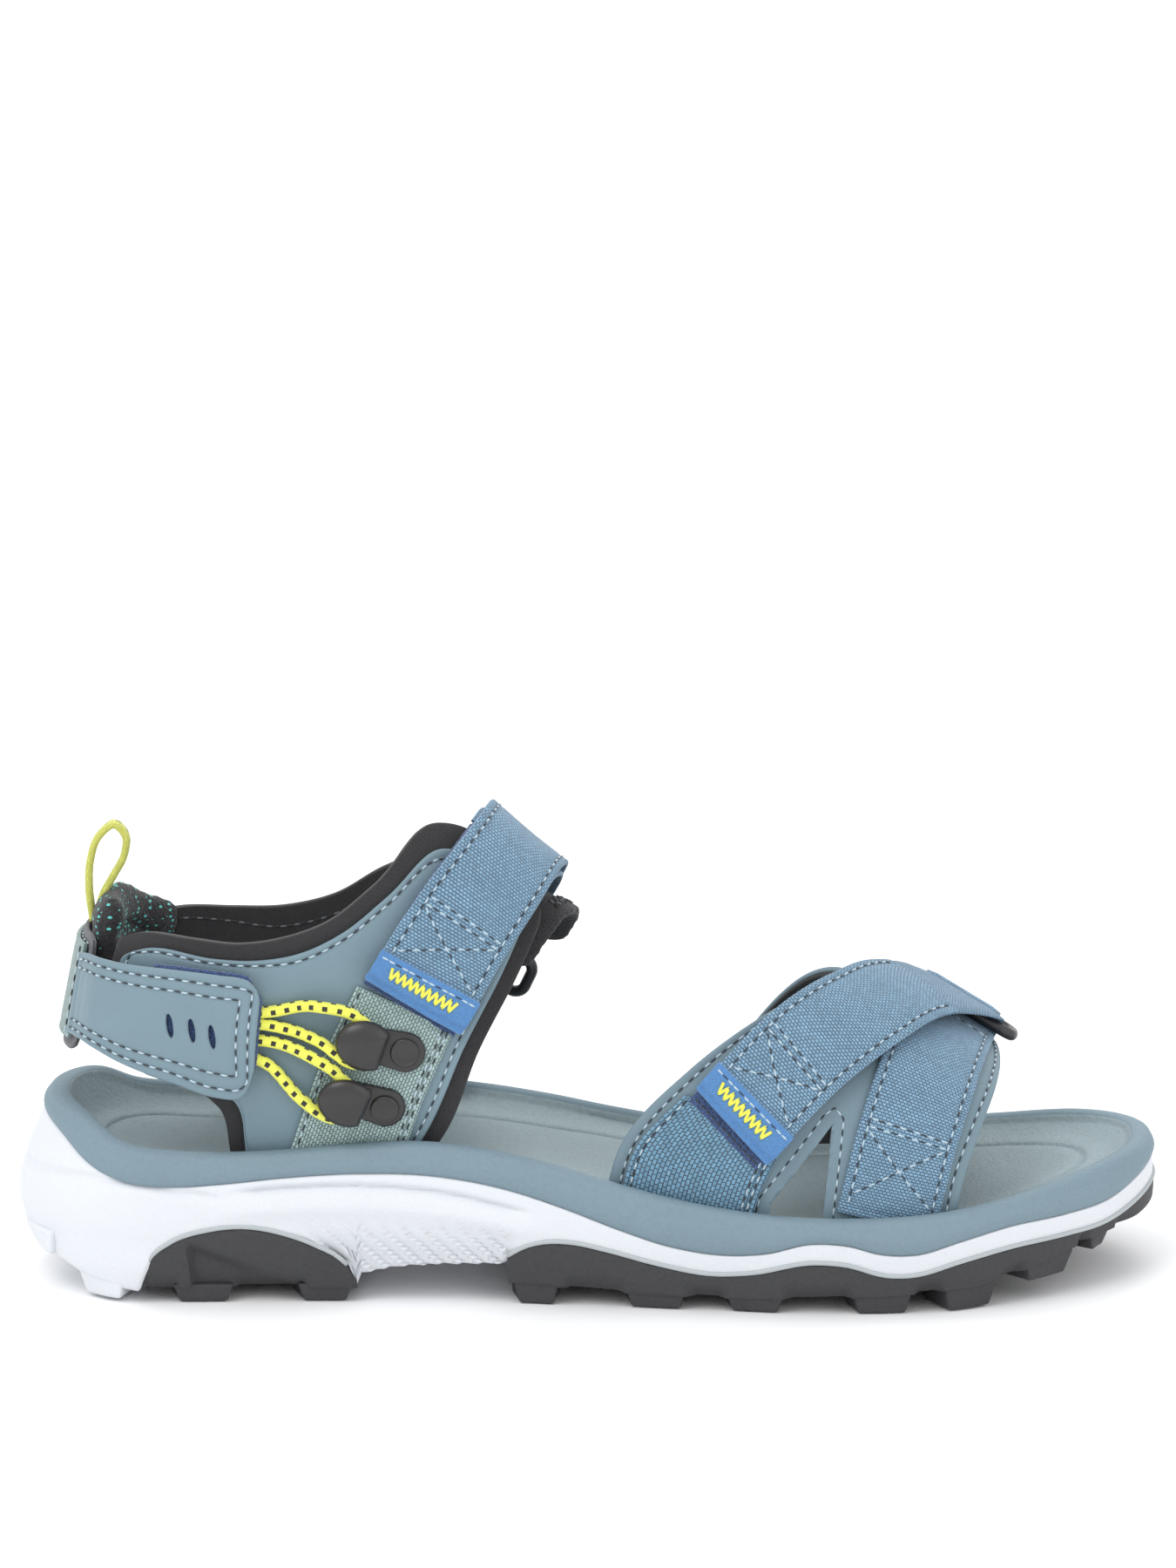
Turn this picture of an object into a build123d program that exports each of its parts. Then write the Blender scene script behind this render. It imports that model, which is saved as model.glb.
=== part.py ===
"""A strappy sport sandal for the right foot, built as its separate pieces.

Frame: +X points to the toe, +Y to the inner side of the foot, +Z up, and the sandal stands on
Z = 0. Lengths are millimetres. The outer (lateral) side is at -Y.

The sole is one plan outline cut into layers by side profiles. The upper lies on a foot form, a
superquadric whose width, crest and heel follow curves. Every strap and panel is a patch of that
form, lifted by the thickness of what lies under it.
"""

import os

import numpy as np
from build123d import *

# ---------------------------------------------------------------- driving dimensions
LENGTH = 290.0
TOE_X, HEEL_X = LENGTH / 2, -LENGTH / 2
TOE_CAP, HEEL_CAP, CAP_POWER = 70.0, 38.0, 2.2

# Sole: half width and middle line against X, then the side profiles (height against X).
HALF_WIDTH = [(-145, 38), (-110, 39.5), (-60, 37.5), (-20, 38), (20, 44.5), (60, 51), (90, 51),
              (120, 47.5), (145, 44)]
MIDDLE = [(-145, -0.6), (-60, -2.6), (-20, -3.6), (20, -2.6), (60, -0.6), (90, 1.4), (120, 5.4), (145, 8.4)]
RIM_TOP = [(-150, 48), (-135, 46), (-122, 41), (-105, 39), (-75, 39), (-58, 40.5), (-40, 41),
           (-26, 39.5), (-11, 36.5), (6, 32), (26, 27.5), (47, 25), (68, 24.5), (89, 25.5), (110, 28),
           (130, 31.5), (150, 34)]
FOOTBED_FLOOR = [(-150, 40), (-125, 35.5), (-100, 33.5), (-60, 35), (-30, 34.5), (0, 29), (30, 22),
                 (65, 19.8), (95, 21.5), (120, 25), (150, 30)]
FOOTBED_BASE = [(-150, 45), (-137, 40), (-130, 36), (-120, 32), (-108, 30.3), (-92, 31), (-76, 32.5),
                (-56, 33.5), (-41, 33.2), (-21, 30), (-6, 25.5), (8, 20.5), (20, 16.8), (34, 15),
                (44, 15.8), (55, 18.6), (64, 18.2), (73, 15.8), (82, 15.6), (92, 18.2), (105, 20.8),
                (120, 21.5), (132, 22.8), (140, 26), (150, 31)]
RUBBER_TOP = [(-24, 9), (-19.5, 13), (-13, 16), (-5, 16.6), (5, 14.8), (17, 11.8), (30, 9.6), (40, 10.2),
              (56, 13.4), (64, 12.8), (74, 9.9), (81, 9.8), (93, 12.8), (105, 15), (120, 15.9),
              (131, 16.8), (140, 20), (150, 25)]
HEEL_PAD_TOP = [(-116, 1), (-112, 9.5), (-105, 15.5), (-95, 19), (-85, 19.8), (-76, 18), (-66, 13.8),
                (-60, 9.5), (-56, 1)]
MIDSOLE_UNDER = [(-150, 16), (-141, 11.5), (-130, 6), (-116, 3), (-98, 3), (-60, 6.5), (-48, 9), (-30, 10),
                 (-10, 10), (20, 5), (90, 5), (110, 8), (130, 14), (150, 22)]
TREAD_BASE = [(-26, 6), (-15, 5), (85, 5), (100, 6), (115, 9.5), (130, 14.5), (150, 21)]
TREAD_FLOOR = [(-30, 0), (80, 0), (96, 0.2), (108, 2.5), (120, 6.5), (132, 11), (150, 18)]
SIDE_INSET = [(-4, 5.0), (6, 2.4), (18, 0.4), (30, 0.6), (43, 2.4), (56, 5.0)]
HEEL_SHIFT = [(-4, 3.0), (9, 2.5), (16, 0.6), (21, 0), (30, 1.0), (38, 3.4), (46, 5.0), (56, 6.0)]
RUBBER_START, HEEL_PAD_START, HEEL_PAD_END = -21.0, -115.0, -57.0
HEEL_PAD_BASE = 3.2
POCKET_INSET, POCKET_HEEL_SHIFT = 5.4, 3.0
PAST_END = 3.0

# Lugs: spans along X of the ones at the edge, then the small ones down the middle.
EDGE_LUGS = [(-19.5, -7), (9, 24), (34, 48), (66, 81), (89.5, 103), (110.5, 123), (127, 133)]
CENTRE_LUGS = [-2, 16.5, 34, 51.5, 69, 86.5, 104]
CENTRE_LUG, CENTRE_LUG_STEP = 5.5, 12.5
HEEL_LUGS = [(-103, -89.5), (-69.5, -59)]
HEEL_LUG_WIDTH, HEEL_LUG_STEP = 20.0, 25.0
LUG_INSET, LUG_DEPTH, LUG_LEAN, LUG_BITE = 3.4, 17.0, 2.0, 0.8

# Foot form: how far inside the sole's edge it stands, its crest line, heel line and roundness.
FORM_MARGIN, FORM_BASE = 9.5, 22.0
ANKLE_FLARE = 3.5
LEG_X, LEG_RISE = -85.0, 400.0
CREST = [(-85, 422), (-74, 270), (-60, 178), (-45, 141), (-30, 119), (-15, 104), (0, 96), (20, 89.5),
         (45, 81), (70, 72.5), (85, 66), (100, 57), (115, 47), (130, 36), (145, 24)]
HEEL_BACK, HEEL_LEAN = -131.5, 0.2
SIDE_POWER, CREST_POWER, HEEL_POWER = 2.2, 2.6, 2.3

# Thicknesses of the layers, and how far off the form each one starts.
LINING, VAMP_LINING, LEATHER, HEEL_PAD = 3.0, 1.2, 1.4, 5.0
WEBBING, LOOP_PILE, HOOK_PILE, TAB = 1.3, 1.0, 1.3, 0.9
WEB_LIFT, PATCH_LIFT, HOOK_LIFT, FLAP_LIFT = 1.7, 2.1, 3.4, 4.9
FLOOR_GAP, SKIN_GAP, LINING_GAP, GAP = 0.3, 0.3, 0.7, 0.3

# Straps: the lines they follow on the form, from the free end to the ring.
STRAP_WIDTH, ANKLE_WIDTH = 25.0, 27.0
ANKLE_GUIDE = [(-44, -33, 75.5), (-30.5, -24, 97), (-18, -4, 109.5), (-18, 12, 103), (-23, 24, 92),
               (-28, 30, 80)]
FRONT_BASE_GUIDE = [(74.5, -43, 25), (79, -37, 43), (85, -24, 57.5), (90, -6, 63), (92, 8, 62)]
FRONT_FLAP_GUIDE = [(36, -39, 46), (53.5, -32, 61.5), (68, -20, 67), (80, -6, 69), (90, 6, 64)]
WINDOW = [(60.5, 46.5), (57.5, 15), (43.5, 15), (45.5, 27)]
FLAP_SETBACK, FLAP_RISE = 12.5, 24.0
BAR_RADIUS, BAR_LIFT, RING_DEPTH, RING_ROOM, RING_CORNER = 1.5, 4.8, 10.0, 7.0, 3.0
STRAP_OVER_BAR, BASE_DROP = 0.9, 14.0
KEEPER_LENGTH, KEEPER_NARROWER, KEEPER_OPEN = 13.0, 3.0, 0.4
PATCH_EDGE, TAB_EDGE = 1.0, 0.5

# Heel strap, its hinge line, the pull loop, and the elastic cords with their hooks.
HEEL_STRAP_LIFT, HEEL_STRAP_START, HEEL_HOOK_PILE = 5.3, 3.2, 1.6
HEEL_SLOTS = [(-103.5, 71.5), (-98, 70.5), (-93, 69)]
SLOT_LENGTH, SLOT_WIDTH, SLOT_LEAN = 5.5, 1.2, 97.0
HEEL_PATCH_X, HEEL_PATCH_Z = (-112, -102, -94), (62, 82)
CORD_RADIUS, CORD_LIFT, HOOK_CORD_LIFT = 1.5, 3.3, 6.0
UPPER_LOOP = [(-92, 75), (-80, 74.5), (-68, 76), (-57, 73.5), (-50.8, 69), (-50.2, 64.4), (-53.9, 61.6),
              (-67, 67.3), (-80, 71.3), (-92, 71.8)]
LOWER_LOOP = [(-92, 67.3), (-80, 67.2), (-69, 63.5), (-55, 55.6), (-54.9, 50.9), (-58.9, 48.6),
              (-71, 53), (-81, 62), (-92, 63.8)]
HOOKS = [((-54.5, 66.2), (-45.5, 64)), ((-59, 53.2), (-50.5, 50.5))]
UPPER_BENDS = [18, 12, 8, 3.5, 3.5, 3.5, 8, 18]
LOWER_BENDS = [18, 12, 3.5, 3.5, 3.5, 8, 10]
POST_RADIUS, RIVET_RADIUS, SHANK_RADIUS, SHANK_ROOM = 1.9, 3.5, 1.4, 0.1
RIVET_HEAD, RIVET_TAPER, RIVET_TAIL, RIVET_CLEAR = 1.2, 20, 0.8, 0.6
PLATE, PLATE_WIDTH, CAP, CAP_LIFT = 0.8, 9.6, 0.9, 8.2
CAP_RADII = [(7.0, 6.2), (5.6, 4.9)]

# Pull loop at the back of the heel, in the side view.
LOOP_WIDTH = 9.0
STEM = [(-128.6, 89.6), (-126.0, 89.6), (-124.0, 99.0), (-126.4, 99.3)]
LOOP_CENTRE, LOOP_RADII, LOOP_LEAN = (-122.4, 108.0), (5.0, 7.6), -12.0

FAR = 120.0


# ---------------------------------------------------------------- curves and the foot form
def curve(x, knots):
    """Smooth curve through (x, value) knots, flat beyond the ends."""
    xs, ys = np.array(knots, float).T
    slope = np.gradient(ys, xs)
    x = np.clip(x, xs[0], xs[-1])
    i = np.clip(np.searchsorted(xs, x) - 1, 0, len(xs) - 2)
    step = xs[i + 1] - xs[i]
    t = (x - xs[i]) / step
    return (
        (2 * t**3 - 3 * t**2 + 1) * ys[i]
        + (t**3 - 2 * t**2 + t) * step * slope[i]
        + (3 * t**2 - 2 * t**3) * ys[i + 1]
        + (t**3 - t**2) * step * slope[i + 1]
    )


def ease(t):
    t = np.clip(t, 0, 1)
    return t * t * (3 - 2 * t)


def plan_half(x):
    """Half width of the sole at X, with the rounded ends."""
    width = curve(x, HALF_WIDTH)
    for over, cap in ((x - TOE_X + TOE_CAP, TOE_CAP), (-x - TOE_X + HEEL_CAP, HEEL_CAP)):
        width *= max(0.0, 1 - (max(0.0, over) / cap) ** CAP_POWER) ** (1 / CAP_POWER)
    return width


def outline(inset, heel_shift, count=30):
    """Points of the sole's plan outline moved inward by inset, the heel drawn forward by heel_shift."""
    points = []
    for a in np.linspace(0, 2 * np.pi, count, endpoint=False):
        x = np.cos(a) * LENGTH / 2
        points.append((x, curve(x, MIDDLE) + np.sign(np.sin(a)) * plan_half(x)))
    p = np.array(points)
    along = np.roll(p, -1, 0) - np.roll(p, 1, 0)
    along /= np.linalg.norm(along, axis=1)[:, None]
    p += inset * np.column_stack([-along[:, 1], along[:, 0]])
    p[:, 0] += heel_shift * ease((-60 - p[:, 0]) / 85)
    return [tuple(q) for q in p]


def tread_floor(x):
    return max(0.0, float(curve(x, TREAD_FLOOR)))


def form_half(x, z):
    flare = ANKLE_FLARE * ease((z - 36) / 24) * ease((-10 - x) / 30)
    return curve(x, HALF_WIDTH) - FORM_MARGIN + flare


def heel_line(z):
    return HEEL_BACK + HEEL_LEAN * (z - 60)


def crest_term(x, z):
    rise = np.where(x < LEG_X, LEG_RISE, curve(x, CREST) - FORM_BASE)
    return np.clip((z - FORM_BASE) / rise, 0, None) ** CREST_POWER


def level(p):
    """Below 0 inside the foot form, 0 on it."""
    x, y, z = p[..., 0], p[..., 1], p[..., 2]
    side = (np.abs(y - curve(x, MIDDLE)) / form_half(x, z)) ** SIDE_POWER
    heel = np.clip((LEG_X - x) / (LEG_X - heel_line(z)), 0, None) ** HEEL_POWER
    return side + heel + crest_term(x, z) - 1


def gradient(p, d=0.02):
    return np.stack([(level(p + d * axis) - level(p - d * axis)) / (2 * d) for axis in np.eye(3)], -1)


def normal(p):
    g = gradient(p)
    return g / np.linalg.norm(g, axis=-1, keepdims=True)


def onto(p, steps=12):
    """The point of the form near p."""
    for _ in range(steps):
        g = gradient(p)
        p = p - (level(p) / (g**2).sum(-1))[..., None] * g
    return p


def wall_point(x, z, side):
    """Point of the form's wall at side -1 (outer) or +1 (inner)."""
    heel = np.clip((LEG_X - x) / (LEG_X - heel_line(z)), 0, None) ** HEEL_POWER
    reach = np.clip(1 - crest_term(x, z) - heel, 1e-4, 1) ** (1 / SIDE_POWER)
    return np.stack([x, curve(x, MIDDLE) + side * form_half(x, z) * reach, z], -1)


def heel_point(turn, z, side):
    """Point of the form behind the leg line. turn runs from 0 at the side to 1 at the back of the heel."""
    room = 1 - ((z - FORM_BASE) / LEG_RISE) ** CREST_POWER
    a = turn * np.pi / 2
    x = LEG_X + (heel_line(z) - LEG_X) * (room * np.sin(a) ** 2) ** (1 / HEEL_POWER)
    y = curve(x, MIDDLE) + side * form_half(x, z) * (room * np.clip(np.cos(a), 0, 1) ** 2) ** (1 / SIDE_POWER)
    return np.stack([x, y, z], -1)


def skin(points, lift):
    """A smooth face through a grid of points, lifted off the form by lift (one value, or one per row)."""
    raise_by = np.reshape(lift, (-1, 1, 1)) * normal(points)
    rows = [[tuple(q) for q in row] for row in points + raise_by]
    return Face.make_surface_from_array_of_points(rows, tol=0.05, max_deg=8, smoothing=(1, 1, 1))


def lay(points, lift, thickness):
    """Adds a sheet over a grid of points to the piece being built, starting lift off the form."""
    under = skin(points, lift)
    over = skin(points, np.asarray(lift) + thickness)
    rims = [Face.make_surface_from_curves(low, top) for low, top in zip(under.edges(), over.edges())]
    add(Solid(Shell([under, over, *rims])))


def smooth_line(points, count):
    """count points spread evenly along a smooth line through the given ones."""
    p = np.array(points, float)
    mark = np.append(0, np.cumsum(np.linalg.norm(np.diff(p, axis=0), axis=1)))
    s = np.linspace(0, mark[-1], count)
    return np.stack([curve(s, np.column_stack([mark, p[:, k]])) for k in range(p.shape[1])], -1)


def rib_grid(ribs, columns=30, rows=16):
    """Grid on the form across ribs, which are lines of guide points from the sole upward."""
    lines = np.array([smooth_line(rib, rows) for rib in ribs])
    grid = np.array([smooth_line(lines[:, row], columns) for row in range(rows)])
    return onto(np.swapaxes(grid, 0, 1))


def wall(side, *points):
    """Rib on one wall of the form, from (x, z) points. A z of None stands on the footbed."""
    rib = []
    for x, z in points:
        height = curve(x, FOOTBED_FLOOR) + FLOOR_GAP if z is None else z
        rib.append(wall_point(x, height, side))
    return rib


def heel_grid(turns, low, high, rows=8):
    """Grid round the back of the heel. A turn is -1 to 0 on the outer side, and 0 to 1 on the inner."""
    columns = []
    for turn in turns:
        side = -1 if turn < 0 else 1
        columns.append([heel_point(1 - abs(turn), z, side) for z in np.linspace(low, high, rows)])
    return np.array(columns)


def laid_path(guide, step=2.0):
    """Evenly spaced points on the form along a smooth line through the guide points, with the headings."""
    g = np.array(guide, float)
    mark = np.append(0, np.cumsum(np.linalg.norm(np.diff(g, axis=0), axis=1)))
    s = np.linspace(0, mark[-1], 160)
    p = onto(np.stack([curve(s, np.column_stack([mark, g[:, k]])) for k in range(3)], -1))
    run = np.append(0, np.cumsum(np.linalg.norm(np.diff(p, axis=0), axis=1)))
    even = np.linspace(0, run[-1], int(run[-1] / step) + 1)
    p = onto(np.stack([np.interp(even, run, p[:, k]) for k in range(3)], -1))
    t = np.gradient(p, axis=0)
    return p, t / np.linalg.norm(t, axis=1)[:, None], even


def ribbon_grid(path, low, high, across=7):
    """Grid on the form along a path, from low to high either side of it."""
    p, t, _ = path
    b = np.cross(normal(p), t)
    return onto(p[:, None] + np.linspace(low, high, across)[None, :, None] * b[:, None])


def stretch(path, start, end):
    """The part of a path between two distances."""
    p, t, s = path
    keep = (s >= start - 0.01) & (s <= end + 0.01)
    return p[keep], t[keep], s[keep]


def side_shape(*runs):
    """Closed outline in the side view. Each run is a line (2 points) or a smooth curve (more)."""
    with BuildSketch(Plane.XZ) as shape:
        with BuildLine():
            for run in runs:
                if len(run) > 2:
                    Spline(*run)
                else:
                    Line(*run)
        make_face()
    return shape.sketch


def height_run(knots, start, end, step=9.0):
    """Points of a height curve in the side view from X = start to X = end."""
    return [(x, float(curve(x, knots))) for x in np.linspace(start, end, int(abs(end - start) / step) + 2)]


def joined(*runs):
    """Closed side-view outline through the runs, with straight lines from each to the next."""
    pieces = []
    for run, after in zip(runs, runs[1:] + runs[:1]):
        pieces += [run, (run[-1], after[0])]
    return side_shape(*pieces)


def sole_sections(inset):
    """The sole's plan outlines at each level of its side wall, moved inward by inset."""
    sections = []
    for z, draw_in in SIDE_INSET:
        with BuildSketch(Plane.XY.offset(z)) as section:
            with BuildLine():
                Spline(*outline(inset + draw_in, curve(z, HEEL_SHIFT)), periodic=True)
            make_face()
        sections.append(section.sketch)
    return sections


# ---------------------------------------------------------------- sole
rubber_top = height_run(RUBBER_TOP, RUBBER_START, TOE_X + PAST_END)
heel_pad_top = height_run(HEEL_PAD_TOP, HEEL_PAD_START, HEEL_PAD_END, 6)
footbed_base = height_run(FOOTBED_BASE, HEEL_X - PAST_END, TOE_X + PAST_END)

with BuildPart() as outsole_forefoot:
    loft(sections=sole_sections(0))
    tread = joined(rubber_top, height_run(TREAD_BASE, TOE_X + PAST_END, RUBBER_START, 16))
    extrude(tread, amount=FAR, both=True, mode=Mode.INTERSECT)
    for start, end in EDGE_LUGS:
        middle = (start + end) / 2
        for side in (-1, 1):
            edge = [(x, curve(x, MIDDLE) + side * plan_half(x)) for x in (start, middle, end)]
            outer = [(x, y - side * LUG_INSET) for x, y in edge]
            inner = [(x - LUG_LEAN, y - side * LUG_DEPTH) for x, y in edge]
            with BuildSketch(Plane.XY.offset(tread_floor(middle))):
                with BuildLine():
                    Polyline(*outer, *inner[::-1], close=True)
                make_face()
            extrude(amount=curve(middle, TREAD_BASE) - tread_floor(middle) + LUG_BITE)
    for x in CENTRE_LUGS:
        with BuildSketch(Plane.XY.offset(tread_floor(x))):
            for y in (-CENTRE_LUG_STEP, 0, CENTRE_LUG_STEP):
                with Locations((x - abs(y) * 0.25, curve(x, MIDDLE) + y)):
                    RegularPolygon(radius=CENTRE_LUG, side_count=6)
        extrude(amount=curve(x, TREAD_BASE) - tread_floor(x) + LUG_BITE)
outsole_forefoot.part.label = "outsole_forefoot"

with BuildPart() as outsole_heel:
    loft(sections=sole_sections(0))
    pad_low = [(HEEL_PAD_END, HEEL_PAD_BASE), (HEEL_PAD_START, HEEL_PAD_BASE)]
    extrude(joined(heel_pad_top, pad_low), amount=FAR, both=True, mode=Mode.INTERSECT)
    for start, end in HEEL_LUGS:
        middle = (start + end) / 2
        with BuildSketch():
            for place in (-1, 0, 1):
                with Locations((middle, curve(middle, MIDDLE) + place * HEEL_LUG_STEP)):
                    Rectangle(end - start, HEEL_LUG_WIDTH)
        extrude(amount=HEEL_PAD_BASE + LUG_BITE)
outsole_heel.part.label = "outsole_heel"

with BuildPart() as midsole:
    loft(sections=sole_sections(0))
    heel_under = height_run(MIDSOLE_UNDER, HEEL_X - PAST_END, HEEL_PAD_START)
    arch_under = height_run(MIDSOLE_UNDER, HEEL_PAD_END, RUBBER_START)
    core = joined(heel_under, heel_pad_top, arch_under, rubber_top, footbed_base[::-1])
    extrude(core, amount=FAR, both=True, mode=Mode.INTERSECT)
midsole.part.label = "midsole"

with BuildPart() as footbed:
    loft(sections=sole_sections(0))
    rim = joined(footbed_base, height_run(RIM_TOP, TOE_X + PAST_END, HEEL_X - PAST_END, 14))
    extrude(rim, amount=FAR, both=True, mode=Mode.INTERSECT)
    with BuildPart(mode=Mode.PRIVATE) as pocket:
        with BuildSketch():
            with BuildLine():
                Spline(*outline(POCKET_INSET, POCKET_HEEL_SHIFT, 18), periodic=True)
            make_face()
        extrude(amount=FAR)
        hollow = joined(height_run(FOOTBED_FLOOR, HEEL_X, TOE_X, 24), [(TOE_X, FAR), (HEEL_X, FAR)])
        extrude(hollow, amount=FAR, both=True, mode=Mode.INTERSECT)
    add(pocket.part, mode=Mode.SUBTRACT)
footbed.part.label = "footbed"

# ---------------------------------------------------------------- upper: the quarters
OUTER, INNER = -1, 1
lining_ribs = [
    wall(OUTER, (-120, 63), (-121, 78), (-117, 92)),
    wall(OUTER, (-112, 59), (-111, 76), (-108, 93)),
    wall(OUTER, (-100, 55), (-99, 74), (-97, 92)),
    wall(OUTER, (-92, 48.5), (-89, 70), (-86, 91)),
    wall(OUTER, (-87, None), (-81, 64), (-75, 92.5)),
    wall(OUTER, (-78, None), (-71, 64), (-65, 96)),
    wall(OUTER, (-66, None), (-60, 68), (-53, 105)),
    wall(OUTER, (-54, None), (-47, 72), (-38, 117)),
    wall(OUTER, (-46, None), (-35, 70), (-24, 110.5)),
    wall(OUTER, (-41, None), (-36, 41), (-27, 63), (-18, 80), (-10, 97)),
]
with BuildPart() as lateral_quarter_lining:
    lay(rib_grid(lining_ribs), -LINING, LINING - LINING_GAP)
lateral_quarter_lining.part.label = "lateral_quarter_lining"

quarter_ribs = [
    wall(OUTER, (-116, 66), (-118, 76), (-115, 88)),
    wall(OUTER, (-107, 60.5), (-107, 75), (-106, 89.5)),
    wall(OUTER, (-95, 56.5), (-94, 72), (-93, 87.5)),
    wall(OUTER, (-88, 51), (-84.5, 69), (-82, 87)),
    wall(OUTER, (-83, None), (-78, 62), (-72, 88.5)),
    wall(OUTER, (-73, None), (-67, 64), (-61, 93.5)),
    wall(OUTER, (-62, None), (-56, 67), (-50, 102)),
    wall(OUTER, (-53, None), (-46, 70), (-37, 112.5)),
    wall(OUTER, (-48, None), (-38, 66), (-26, 107.5)),
    wall(OUTER, (-45, None), (-40, 43), (-31, 64), (-21.5, 82), (-15, 96)),
]
with BuildPart() as lateral_quarter:
    lay(rib_grid(quarter_ribs), 0, LEATHER)
lateral_quarter.part.label = "lateral_quarter"

web_ribs = [
    wall(OUTER, (-76, None), (-67, 60), (-57.5, 80.5)),
    wall(OUTER, (-61, None), (-52.5, 56), (-44.5, 74.5)),
    wall(OUTER, (-47, None), (-40.5, 53), (-33.5, 69)),
]
with BuildPart() as quarter_webbing:
    lay(rib_grid(web_ribs, 8, 10), WEB_LIFT, WEBBING)
quarter_webbing.part.label = "quarter_webbing"

inner_lining_ribs = [
    wall(INNER, (-117, 62), (-119, 74), (-116, 86)),
    wall(INNER, (-107, 58), (-107, 73), (-105, 87.5)),
    wall(INNER, (-97, 50.5), (-95, 70), (-92, 87)),
    wall(INNER, (-91, None), (-85, 62), (-78, 87.5)),
    wall(INNER, (-78, None), (-72, 62), (-65, 91)),
    wall(INNER, (-64, None), (-58, 66), (-52, 99)),
    wall(INNER, (-50, None), (-44, 70), (-38, 108)),
    wall(INNER, (-41, None), (-33, 68), (-24, 106)),
    wall(INNER, (-36, None), (-32, 46), (-24, 64), (-15, 80), (-9, 93)),
]
with BuildPart() as medial_quarter_lining:
    lay(rib_grid(inner_lining_ribs), -LINING, LINING - LINING_GAP)
medial_quarter_lining.part.label = "medial_quarter_lining"

inner_quarter_ribs = [
    wall(INNER, (-113, 65), (-115, 74), (-112, 82)),
    wall(INNER, (-105, 61.5), (-104, 72), (-102, 83.5)),
    wall(INNER, (-93, 54), (-91, 69), (-89, 83)),
    wall(INNER, (-87, None), (-81, 60), (-75, 84)),
    wall(INNER, (-75, None), (-69, 61), (-63, 87.5)),
    wall(INNER, (-62, None), (-56, 65), (-51, 95.5)),
    wall(INNER, (-50, None), (-44, 68), (-38, 103)),
    wall(INNER, (-44, None), (-36, 66), (-26, 101)),
    wall(INNER, (-41, None), (-36, 46), (-28, 64), (-19, 80), (-13, 90)),
]
with BuildPart() as medial_quarter:
    lay(rib_grid(inner_quarter_ribs), 0, LEATHER)
medial_quarter.part.label = "medial_quarter"


# ---------------------------------------------------------------- rings and folded webbing
def ring_frame(path):
    """Plane on the ring's near bar at the end of a path: X along the bar, Z outward."""
    p, t, _ = path
    n = normal(p[-1])
    onward = t[-1] - (t[-1] @ n) * n
    return Plane(origin=tuple(p[-1] + BAR_LIFT * n), x_dir=tuple(np.cross(onward, n)), z_dir=tuple(n))


def across_bar(frame, width, back=0.0):
    """Plane across the ring's bars: local X runs onward from the bar, local Y outward."""
    centre = frame.origin + back * frame.y_dir - width / 2 * frame.x_dir
    return Plane(origin=centre, x_dir=frame.y_dir, z_dir=frame.x_dir)


def add_ring(frame, width):
    """Rectangular wire ring whose near bar is the frame's X axis."""
    with BuildSketch(frame) as plan:
        with Locations((0, RING_DEPTH / 2)):
            RectangleRounded(width, RING_DEPTH, RING_CORNER)
    wire = plan.sketch.faces()[0].outer_wire()
    with BuildSketch(Plane(origin=wire @ 0, z_dir=wire % 0)) as section:
        Circle(BAR_RADIUS)
    sweep(sections=section.sketch, path=wire)


def add_fold(frame, width, first, last):
    """Webbing round the near bar between two angles, 0 being onward and 90 outward."""
    with BuildSketch(across_bar(frame, width)) as section:
        with BuildLine():
            inside = CenterArc((0, 0), BAR_RADIUS + GAP, first, last - first)
            outside = CenterArc((0, 0), BAR_RADIUS + GAP + WEBBING, first, last - first)
            Line(inside @ 0, outside @ 0)
            Line(inside @ 1, outside @ 1)
        make_face()
    extrude(section.sketch, amount=width)


def add_keeper(frame, width):
    """Webbing folded round the far bar, its two ends running on to be sewn down."""
    r = BAR_RADIUS + GAP
    with BuildSketch(across_bar(frame, width, RING_DEPTH)) as section:
        with BuildLine():
            inside = CenterArc((0, 0), r, 90, 180)
            outside = CenterArc((0, 0), r + WEBBING, 90, 180)
            inner_end = (KEEPER_LENGTH, KEEPER_OPEN - r)
            outer_end = (KEEPER_LENGTH, KEEPER_OPEN - r + WEBBING)
            Line(inside @ 0, inner_end)
            Line(outside @ 0, outer_end)
            Line(inner_end, outer_end)
            Line(inside @ 1, outside @ 1)
        make_face()
    extrude(section.sketch, amount=width)


# ---------------------------------------------------------------- upper: the ankle strap
ankle_path = laid_path(ANKLE_GUIDE)
ankle_end = float(ankle_path[2][-1])
half_ankle = ANKLE_WIDTH / 2
ankle_frame = ring_frame(ankle_path)
under_bar = BAR_LIFT - BAR_RADIUS - GAP - WEBBING
over_bar = BAR_LIFT + BAR_RADIUS + STRAP_OVER_BAR
tab_lift = FLAP_LIFT + WEBBING + SKIN_GAP

with BuildPart() as instep_pad:
    cushion = ribbon_grid(stretch(ankle_path, 30, ankle_end - 10), -half_ankle - 6, half_ankle + 4, 9)
    lay(cushion, -2 * LINING, LINING - 2 * SKIN_GAP)
instep_pad.part.label = "instep_pad"

with BuildPart() as ankle_strap_base:
    under = stretch(ankle_path, 45, ankle_end)
    lift = np.interp(under[2], [ankle_end - BASE_DROP, ankle_end], [WEB_LIFT, under_bar])
    lay(ribbon_grid(under, -half_ankle, half_ankle), lift, WEBBING)
    add_fold(ankle_frame, ANKLE_WIDTH, -90, 0)
ankle_strap_base.part.label = "ankle_strap_base"

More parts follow.
